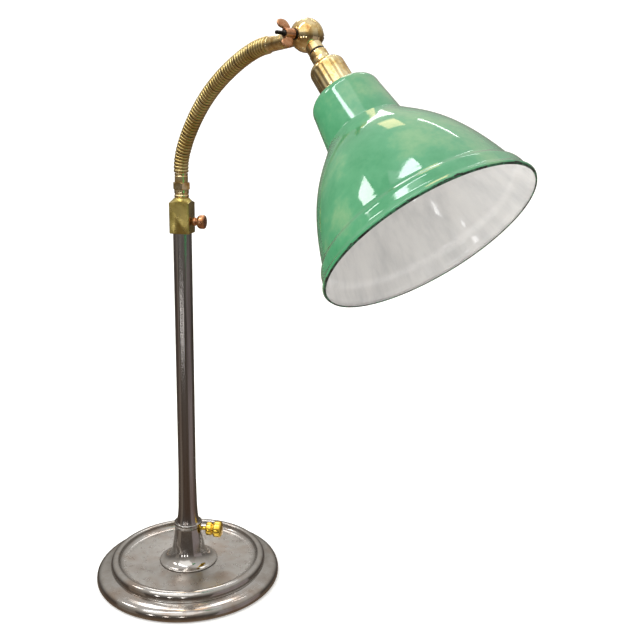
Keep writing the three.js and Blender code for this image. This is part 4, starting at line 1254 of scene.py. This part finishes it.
class DESKLAMP_OT_gooseneck(bpy.types.Operator):
    """The ribbed brass gooseneck, a length for each of its bodies, and the ferrule at its tip"""

    bl_idname = "desklamp.gooseneck"
    bl_label = "Gooseneck"

    def execute(self, context):
        brass = gooseneck_brass()
        for index in range(len(HOSE_BENDS)):
            name = f"gooseneck_ribs_{index + 1}"
            rings = hose_rings(index, size("rib_depth"))
            piece = new_piece(name, mesh_of(name, skinned(rings, looped=True), 60))
            body = "arm_foot" if index == 0 else f"gooseneck_{index + 1}"
            finish_piece(piece, body, f"hose_{index + 1}", "polished_brass", brass)
        bore = HOSE_SPIGOT[0] + CLEARANCE
        radius, end = TIP_FERRULE
        outline = (
            Outline(bore, CLEARANCE)
            .line(radius, CLEARANCE)
            .line(radius, TIP_GROOVE_START)
            .groove(*TIP_GROOVE)
            .line(radius, end)
            .line(bore, end)
        )
        ferrule = turned("tip_ferrule", outline, place=hose_end_place())
        finish_piece(ferrule, "gooseneck_9", "hose_tip_ferrule", "polished_brass", polished_brass())
        return {"FINISHED"}


# Knuckle


def dome(name, radius, face, pole):
    """A ball between two flats."""
    start, end = math.asin(face / radius), math.asin(pole / radius)
    outline = Outline(0, face).arc(radius, start, end, 28).line(0, pole)
    return turned(name, outline, MIDDLE_SIDES, 0.2, False)


def half_ball(name, tail_radius, tail_end):
    """A half ball on +Z with its tail along +X, cut clear of the other half."""
    across = rotation(90, "Y")
    corners = [(0, TAIL_START), (tail_radius, TAIL_START), (tail_radius, tail_end), (0, tail_end)]
    tail = turned(name + "_tail", corners, MIDDLE_SIDES, 0.3, False)
    tail.data.transform(across)
    other = dome(name + "_other", BALL_RADIUS + CLEARANCE, -SPLIT, BALL_POLE + CLEARANCE)
    other.data.transform(rotation(180, "X"))
    combined(tail, other, "DIFFERENCE")
    half = dome(name, BALL_RADIUS, SPLIT, BALL_POLE)
    combined(half, tail, "UNION")
    bore = tube(name + "_bore", FLEX_BORE, 0, TAIL_BORE_START, tail_end + OVERRUN, SMALL_SIDES)
    bore.data.transform(across)
    combined(half, bore, "DIFFERENCE")
    hole = tube(name + "_hole", SCREW_RADIUS + CLEARANCE, 0, -OVERRUN, BALL_HOLE_END, SMALL_SIDES)
    return combined(half, hole, "DIFFERENCE")


class DESKLAMP_OT_knuckle(bpy.types.Operator):
    """The two half balls of the knuckle, each with its tail"""

    bl_idname = "desklamp.knuckle"
    bl_label = "Ball knuckle"

    def execute(self, context):
        brass = polished_brass()
        hose_end = hose_end_place()
        angle = math.degrees(hose_at(HOSE_EACH * len(HOSE_BENDS))[2])
        reach = (BALL * MM - hose_end.translation).length / MM
        arm = half_ball("knuckle_arm_half", ARM_TAIL_RADIUS, reach - TIP_FERRULE[1] - CLEARANCE)
        arm.data.transform(rotation(270 - angle, "Z"))
        arm.matrix_world = screw_place()
        finish_piece(arm, "gooseneck_9", "knuckle_half_arm", "polished_brass", brass)
        head = half_ball("knuckle_head_half", *HEAD_NECK)
        head.data.transform(rotation(-90, "Y") @ rotation(-90, "X"))
        head.matrix_world = head_place()
        finish_piece(head, "head", "knuckle_half_head", "polished_brass", brass)
        return {"FINISHED"}


def threaded_rod(name, start, end, pitch, depth):
    """The knuckle screw with its helical thread, thinner past the nut."""
    count = int((end - start) / pitch * 8)
    wear, wear_length = SCREW_WEAR
    rings = [[(0, 0, start)]]
    for i in range(count + 1):
        height = start + (end - start) * i / count
        crest_to_groove = wear * min(1.0, max(0.0, (height - HUB_START - HUB_LENGTH) / wear_length))
        crest_to_groove += depth * (1 - min(1.0, (end - height) / pitch))

        def thread(turn):
            phase = (height / pitch - turn / (2 * math.pi)) % 1.0
            return -crest_to_groove - depth * abs(2 * phase - 1)

        rings.append(around(SCREW_RADIUS, height, 32, thread))
    rings.append([(0, 0, end)])
    return new_piece(name, mesh_of(name, skinned(rings), 60))


def wing_blank(reach):
    """One paddle of the wing nut, thick at its root and thin at its tip."""
    root, middle, top = (HUB_START + rise for rise in WING_RISES)
    tip = WING_TIP_SHARE * reach
    outline = (
        Outline(WING_INNER, root)
        .curve(reach, root, reach, middle)
        .curve(reach, top, reach - tip, top)
        .curve(reach - 2 * tip, top, HUB_RADIUS, HUB_START + HUB_LENGTH)
        .line(WING_INNER, HUB_START + HUB_LENGTH)
    ).corners
    centre = Vector((reach * 0.55, middle))
    rings = []
    for share, thick in WING_SHARES:
        places = [centre + (corner - centre) * share for corner in outline]
        rings.append([(p.x, (WING_HALF - WING_TAPER * p.x) * thick, p.y) for p in places])
    back = [[(x, -y, z) for x, y, z in ring] for ring in rings[-2::-1]]
    return new_piece("wing", mesh_of("wing", skinned(rings + back)))


class DESKLAMP_OT_wing_nut(bpy.types.Operator):
    """The knuckle's wing nut, screw and spring washer"""

    bl_idname = "desklamp.wing_nut"
    bl_label = "Wing nut and screw"

    def execute(self, context):
        place = screw_place()
        hub_end = HUB_START + HUB_LENGTH
        outline = (
            Outline(0, HUB_START)
            .line(HUB_RADIUS, HUB_START)
            .line(HUB_RADIUS, HUB_START + HUB_RING)
            .line(HUB_RADIUS - CLEARANCE, hub_end)
            .line(0, hub_end)
        )
        hub = turned("wing_nut_cast", outline, SMALL_SIDES, 0.5, False)
        for side in (0, 180):
            wing = wing_blank(size("wing_reach"))
            wing.data.transform(rotation(WING_DEGREES + side, "Z"))
            combined(hub, wing, "UNION")
        blend = hub.modifiers.new("Cast", "REMESH")
        blend.mode = "VOXEL"
        blend.voxel_size = 0.28 * MM
        smooth = hub.modifiers.new("Fillets", "SMOOTH")
        smooth.iterations = 8
        apply_modifiers(hub, 180)
        bore = SCREW_RADIUS + CLEARANCE
        wing_top = HUB_START + WING_RISES[2]
        nut_bore = tube("nut_bore", bore, 0, HUB_START - OVERRUN, wing_top + OVERRUN, SMALL_SIDES)
        combined(hub, nut_bore, "DIFFERENCE")
        hub.matrix_world = place
        finish_piece(hub, "knuckle_nut", "wing_nut", "copper_brown", coppery_brass())

        dark = blackened_steel()
        rod = threaded_rod("knuckle_screw", -BALL_POLE, SCREW_TIP, size("thread_pitch"), size("thread_depth"))
        radius, thickness = SCREW_HEAD
        head_start = -BALL_POLE - CLEARANCE
        head_end = head_start - thickness
        corners = [(0, head_end), (radius, head_end), (radius, head_start), (0, head_start)]
        cheese = turned("screw_head", corners, SMALL_SIDES, 0.4, False)
        across, width, depth = SCREW_SLOT
        slot = bar("slot", -across, across, width, head_end - OVERRUN, head_end + depth)
        combined(cheese, slot, "DIFFERENCE")
        combined(rod, cheese, "UNION")
        rod.matrix_world = place
        finish_piece(rod, "gooseneck_9", "clamp_screw", "dark_steel", dark)
        seat = BALL_POLE + CLEARANCE
        washer = tube("washer", WASHER[0], bore, seat, seat + WASHER[1], SMALL_SIDES, place=place)
        finish_piece(washer, "gooseneck_9", "spring_washer", "dark_steel", dark)
        return {"FINISHED"}


# Head


def fluted_cap(name, depth):
    """The lampholder's cap: a rounded shoulder, broad flutes and a plain lip."""
    hole = HOLDER_COLLAR[0] - CLEARANCE
    edge = hole + CLEARANCE
    deepening, dying = FLUTE_ENDS
    flute_start, flute_end = CAP_SHOULDER + deepening, CAP_LIP_START - dying
    rows = [(hole, CAP_TOP + 0.25, 0), (edge, CAP_TOP, 0)]
    for k in range(1, 15):
        turn = math.radians(90 * k / 14)
        rise = (CAP_SHOULDER - CAP_TOP) * math.cos(turn)
        rows.append((edge + (CAP_RADIUS - edge) * math.sin(turn), CAP_SHOULDER - rise, 0))
    for share in (0.25, 0.5, 0.75, 1.0):
        rows.append((CAP_RADIUS, CAP_SHOULDER + deepening * share, depth * share))
    for k in range(1, 7):
        rows.append((CAP_RADIUS, flute_start + (flute_end - flute_start) * k / 6, depth))
    for share in (0.6, 0.25, 0.0):
        rows.append((CAP_RADIUS, CAP_LIP_START - dying * share, depth * share))
    rows += [
        (CAP_LIP_RADIUS - 0.2, CAP_LIP_START + 0.05, 0),
        (CAP_LIP_RADIUS, CAP_LIP_START + 0.3, 0),
        (CAP_LIP_RADIUS, CAP_BOTTOM - 0.4, 0),
        (CAP_LIP_RADIUS - 0.3, CAP_BOTTOM - 0.05, 0),
        (CAP_LIP_RADIUS - 0.5, CAP_BOTTOM, 0),
        (CAP_BORE, CAP_BOTTOM, 0),
        (CAP_BORE, CAP_SHOULDER, 0),
        (hole + 3, CAP_TOP + CAP_WALL, 0),
        (hole, CAP_TOP + CAP_WALL, 0),
    ]
    rings = []
    for radius, height, deep in rows:

        def flute(turn):
            return deep * (math.cos(turn * FLUTES) - 1) / 2

        rings.append(around(radius, height, FLUTES * 12, flute))
    return new_piece(name, mesh_of(name, skinned(rings, looped=True), 50), head_place())


class DESKLAMP_OT_lampholder(bpy.types.Operator):
    """The lampholder: fibre ring, neck collar, fluted cap, bayonet barrel and shade ring"""

    bl_idname = "desklamp.lampholder"
    bl_label = "Lampholder"

    def execute(self, context):
        brass, fibre = polished_brass(), vulcanised_fibre()
        place = head_place()
        radius, start, end = FIBRE_WASHER
        washer = tube("fibre_washer", radius, FLEX_BORE, start, end, MIDDLE_SIDES, 0.3, place)
        finish_piece(washer, "head", "neck_ring", "fibre", fibre)

        radius, start = HOLDER_COLLAR
        inset, rise = HOLDER_COLLAR_ROUND
        flange, flange_start, flange_end = HOLDER_FLANGE
        groove_width, groove_depth = HOLDER_COLLAR_GROOVE
        outline = (
            Outline(FLEX_BORE, start)
            .line(radius - inset, start)
            .curve(radius, start, radius, start + rise, steps=4)
            .line(radius, (start + CAP_TOP - groove_width) / 2)
            .groove(groove_width, groove_depth, 6)
            .line(radius, CAP_TOP - CLEARANCE)
            .line(radius - inset, CAP_TOP - CLEARANCE)
            .line(radius - inset, CAP_TOP + flange_start)
            .line(flange, CAP_TOP + flange_start)
            .line(flange, CAP_TOP + flange_end)
            .line(FLEX_BORE, CAP_TOP + flange_end)
        )
        collar = turned("holder_collar", outline, place=place)
        finish_piece(collar, "head", "neck_collar", "polished_brass", brass)
        cap = fluted_cap("holder_cap", size("flute_depth"))
        finish_piece(cap, "head", "lampholder_cap", "polished_brass", brass)

        radius, bore, start, end = BARREL
        inset, *drops = BARREL_LIP
        full, lean, narrow = (end - drop for drop in drops)
        outline = Outline(bore, start).line(radius, start).line(radius, full)
        outline.curve(radius, lean, radius - inset, narrow, steps=4).line(radius - inset, end).line(bore, end)
        barrel = turned("holder_barrel", outline)
        rise, reach = end - BAYONET_DEPTH, radius + OVERRUN
        for side in (0, 180):
            entry = bar("entry", 0, reach, BAYONET_WIDTH, rise, end + OVERRUN)
            entry.data.transform(rotation(side, "Z"))
            combined(barrel, entry, "DIFFERENCE")
            for turn in BAYONET_TURNS:
                lock = bar("lock", 0, reach, BAYONET_WIDTH, rise, rise + BAYONET_WIDTH)
                lock.data.transform(rotation(side + turn, "Z"))
                combined(barrel, lock, "DIFFERENCE")
        soften(barrel, 0.15, 2, 35)
        barrel.matrix_world = place
        finish_piece(barrel, "head", "lampholder_barrel", "polished_brass", brass)

        radius, start, end = GALLERY
        groove_start = (start + end - GALLERY_GROOVE[0]) / 2
        outline = Outline(CAP_BORE, start).line(radius, start).line(radius, groove_start)
        outline.groove(*GALLERY_GROOVE, 6).line(radius, end).line(CAP_BORE, end)
        gallery = turned("shade_ring_ribbed", outline, place=place)
        finish_piece(gallery, "head", "shade_ring", "fibre", fibre)
        return {"FINISHED"}


class DESKLAMP_OT_bulb(bpy.types.Operator):
    """The bulb's glass and its bayonet cap"""

    bl_idname = "desklamp.bulb"
    bl_label = "Bulb"

    def execute(self, context):
        place = head_place()
        neck, neck_start = BULB_NECK
        radius, widest_at = BULB_WIDEST
        shell, start, end = BULB_CAP
        half_way = (end + widest_at) / 2
        lean = (radius * BULB_TIP_SHARE, BULB_TIP)
        outside = (
            Outline(neck, neck_start)
            .line(neck, end)
            .sweep((neck, half_way), (radius, half_way), (radius, widest_at), steps=20)
            .sweep((radius, widest_at + BULB_TIP_REACH), lean, (0, BULB_TIP), steps=20)
        ).corners
        wall = size("glass_wall")
        inside = offset(outside, wall)[::-1]
        inside[0] = Vector((0, BULB_TIP - wall))
        rings = lathe_rings(outside + inside, MIDDLE_SIDES)
        glass = new_piece("bulb_envelope", mesh_of("bulb_envelope", skinned(rings, looped=True), 60), place)
        finish_piece(glass, "head", "bulb_glass", "bulb_glass", opal_glass())

        inner = shell - BULB_CAP_WALL
        outline = (
            Outline(0, start)
            .line(inner, start)
            .curve(shell, start, shell, start + BULB_CAP_WALL, steps=4)
            .line(shell, end)
            .line(inner, end)
            .line(inner, start + 2 * BULB_CAP_WALL)
            .line(0, start + 2 * BULB_CAP_WALL)
        )
        cap = turned("bulb_shell", outline, closed=False)
        radius, inner, reach = BULB_PIN
        for turn in BULB_PIN_TURNS:
            pin = tube("pin", radius, 0, inner, reach, 24)
            height = Matrix.Translation((0, 0, BULB_PIN_HEIGHT * MM))
            pin.data.transform(height @ rotation(turn, "Z") @ rotation(90, "Y"))
            combined(cap, pin, "UNION")
        cap.matrix_world = place
        finish_piece(cap, "head", "bulb_cap", "polished_brass", polished_brass())
        return {"FINISHED"}


def shade_outline():
    """The shade's outside, from its hole to its lip. Its sizes rise from the rim towards the ball."""

    def at(radius, rise):
        return radius, RIM_DISTANCE - rise

    top = CAP_BOTTOM + CLEARANCE
    return (
        Outline(CAP_BORE, top)
        .line(SHADE_TOP_RADIUS, top)
        .curve(SHADE_NECK[0], top, *at(*SHADE_NECK))
        .line(*at(*SHADE_NECK_FOOT))
        .sweep(at(*BELL_LEANS[0]), at(*BELL_LEANS[1]), at(*BELL_FOOT), steps=40)
        .line(*at(*BAND_TOP))
        .line(*at(*BAND))
        .line(*at(*RIM_BEAD))
        .line(SHADE_RIM, RIM_DISTANCE)
    ).corners


class DESKLAMP_OT_shade(bpy.types.Operator):
    """The enamelled bell shade, green outside, white inside and chipped at its lip"""

    bl_idname = "desklamp.shade"
    bl_label = "Shade"

    def execute(self, context):
        outside = eased(shade_outline(), SHADE_ROUND, closed=False, steps=6, least=12)
        rings = lathe_rings(outside + offset(outside, size("shade_wall"))[::-1], WIDE_SIDES)
        shade = new_piece("shade_bell", mesh_of("shade_bell", skinned(rings, looped=True), 50), head_place())
        lip = (RIM_DISTANCE - SHADE_LIP) * MM
        for polygon in shade.data.polygons:
            if polygon.center.z > lip:
                polygon.material_index = 2
            elif polygon.normal.xy.dot(polygon.center.xy) < 0 or polygon.normal.z > 0.9:
                polygon.material_index = 1
        finish_piece(shade, "head", "shade", "green_enamel", green_enamel(), white_enamel(), bare_lip())
        return {"FINISHED"}


class DESKLAMP_OT_inner_parts(bpy.types.Operator):
    """Finishes of the pieces that keep their solids: weight, felt, nuts, flex, insulator and contacts"""

    bl_idname = "desklamp.inner_parts"
    bl_label = "Inner parts"

    def execute(self, context):
        table = {
            cast_iron: ["base_weight"],
            pressed_felt: ["base_felt"],
            blackened_steel: ["neck_washer", "neck_lock_nut"],
            moulded_rubber: ["cord_inlet_bush"],
            braided_cotton: [name for name in frame["nodes"] if "flex" in name],
            glazed_porcelain: ["lampholder_insulator"],
            bright_brass: ["contact_plunger_1", "contact_plunger_2"],
        }
        for finish, names in table.items():
            for name in names:
                part = frame["nodes"][name]
                part.data.materials.clear()
                part.data.materials.append(finish())
        return {"FINISHED"}


# Stage


def area_light(name, direction, rise, distance, width, height, brightness, color, share):
    """A rectangle that faces the lamp and looks equally bright at any size."""
    data = bpy.data.lights.new(name, "AREA")
    data.shape = "RECTANGLE"
    data.size = width
    data.size_y = height
    data.energy = 4 * width * height * brightness * share
    data.color = linear(color)
    lamp = bpy.data.objects.new(name, data)
    bpy.context.scene.collection.objects.link(lamp)
    turn, lift = math.radians(direction), math.radians(rise)
    away = Vector((math.cos(turn) * math.cos(lift), math.sin(turn) * math.cos(lift), math.sin(lift)))
    lamp.location = LIT + away * distance
    lamp.rotation_euler = (-away).to_track_quat("-Z", "Y").to_euler()


def studio_room(scene, fill):
    """Even light from a room that is dark below and paler above, white behind the paper."""
    world = bpy.data.worlds.new("Studio")
    scene.world = world
    world.use_nodes = True
    tree = world.node_tree
    tree.nodes.clear()
    place = node(tree, "ShaderNodeTexCoord", output="Generated")
    rise = node(tree, "ShaderNodeSeparateXYZ", {"Vector": place}, output="Z")
    level = node(tree, "ShaderNodeMapRange", {"From Min": -1.0, "Value": rise})
    below = ((0.0, "a08a72"), (0.3, "6f6257"), (0.45, "5c5652"))
    above = ((0.56, "8c8883"), (0.75, "d2cec8"), (1.0, "ffffff"))
    room = node(tree, "ShaderNodeValToRGB", {"Fac": level}, (*below, *above))
    straight = node(tree, "ShaderNodeLightPath", output="Is Camera Ray")
    seen = node(tree, "ShaderNodeMix", over(room, grey(1.3), straight), output=2)
    back = node(tree, "ShaderNodeBackground", {"Strength": fill, "Color": seen})
    node(tree, "ShaderNodeOutputWorld", {"Surface": back})


def paper_sweep(heading, across):
    """A floor that bends up into a wall behind the lamp."""
    profile = [(FLOOR_FRONT, 0.0), (FLOOR_BEND, 0.0)]
    for k in range(1, CURVE_STEPS + 1):
        turn = math.radians(90 * k / CURVE_STEPS)
        drop = FLOOR_RADIUS * math.cos(turn)
        profile.append((FLOOR_BEND + FLOOR_RADIUS * math.sin(turn), FLOOR_RADIUS - drop))
    profile.append((FLOOR_BEND + FLOOR_RADIUS, FLOOR_TOP))
    work = bmesh.new()
    rows = []
    for side in (-FLOOR_HALF_WIDTH, FLOOR_HALF_WIDTH):
        edge = [heading * d + across * side + Vector((0, 0, h)) for d, h in profile]
        rows.append([work.verts.new(point) for point in edge])
    for k in range(len(profile) - 1):
        work.faces.new((rows[0][k], rows[1][k], rows[1][k + 1], rows[0][k + 1]))
    floor = new_piece("floor", mesh_of("floor", work))
    floor.visible_glossy = False
    floor.data.materials.append(matt_paper())


class DESKLAMP_OT_stage(bpy.types.Operator):
    """Pale floor, soft lights and the camera at the photograph's angle"""

    bl_idname = "desklamp.stage"
    bl_label = "Stage"

    def execute(self, context):
        stage = context.scene.desklamp_stage
        heading = Vector(CAMERA_HEADING).normalized()
        across = Vector((heading.y, -heading.x, 0))
        paper_sweep(heading, across)
        studio_room(context.scene, stage.fill)
        for light in LIGHTS:
            area_light(*light, stage.key)

        camera = bpy.data.cameras.new("photograph")
        camera.lens = FOCAL_LENGTH
        camera.sensor_width = SENSOR_WIDTH
        camera.clip_end = 30
        view = bpy.data.objects.new("photograph", camera)
        context.scene.collection.objects.link(view)
        pitch, roll = math.radians(CAMERA_PITCH), math.radians(CAMERA_ROLL)
        forward = (heading * math.cos(pitch) - Vector((0, 0, math.sin(pitch)))).normalized()
        rise = across.cross(forward)
        right = across * math.cos(roll) + rise * math.sin(roll)
        up = rise * math.cos(roll) - across * math.sin(roll)
        aim = Matrix((right, up, -forward)).transposed().to_4x4()
        view.matrix_world = Matrix.Translation(CAMERA_PLACE) @ aim
        context.scene.camera = view
        context.scene.view_settings.view_transform = "Standard"
        return {"FINISHED"}


OPERATORS = (
    DESKLAMP_OT_stage,
    DESKLAMP_OT_base,
    DESKLAMP_OT_stem,
    DESKLAMP_OT_thumb_screws,
    DESKLAMP_OT_clamp_block,
    DESKLAMP_OT_union,
    DESKLAMP_OT_gooseneck,
    DESKLAMP_OT_knuckle,
    DESKLAMP_OT_wing_nut,
    DESKLAMP_OT_lampholder,
    DESKLAMP_OT_bulb,
    DESKLAMP_OT_shade,
    DESKLAMP_OT_inner_parts,
)


class DESKLAMP_PT_panel(bpy.types.Panel):
    bl_idname = "DESKLAMP_PT_panel"
    bl_label = "Desk lamp"
    bl_space_type = "VIEW_3D"
    bl_region_type = "UI"
    bl_category = "Desk lamp"

    def draw(self, context):
        for operator in OPERATORS:
            self.layout.operator(operator.bl_idname)
        for name, group in SETTINGS.items():
            box = self.layout.box()
            for key in group.__annotations__:
                box.prop(getattr(context.scene, name), key)


CLASSES = (*SETTINGS.values(), *OPERATORS, DESKLAMP_PT_panel)


def register():
    for cls in CLASSES:
        bpy.utils.register_class(cls)
    for name, group in SETTINGS.items():
        setattr(bpy.types.Scene, name, bpy.props.PointerProperty(type=group))


def unregister():
    for name in SETTINGS:
        delattr(bpy.types.Scene, name)
    for cls in reversed(CLASSES):
        bpy.utils.unregister_class(cls)


def main():
    register()
    for operator in OPERATORS:
        group, action = operator.bl_idname.split(".")
        getattr(getattr(bpy.ops, group), action)()
    bpy.context.view_layer.update()


if __name__ == "__main__":
    main()
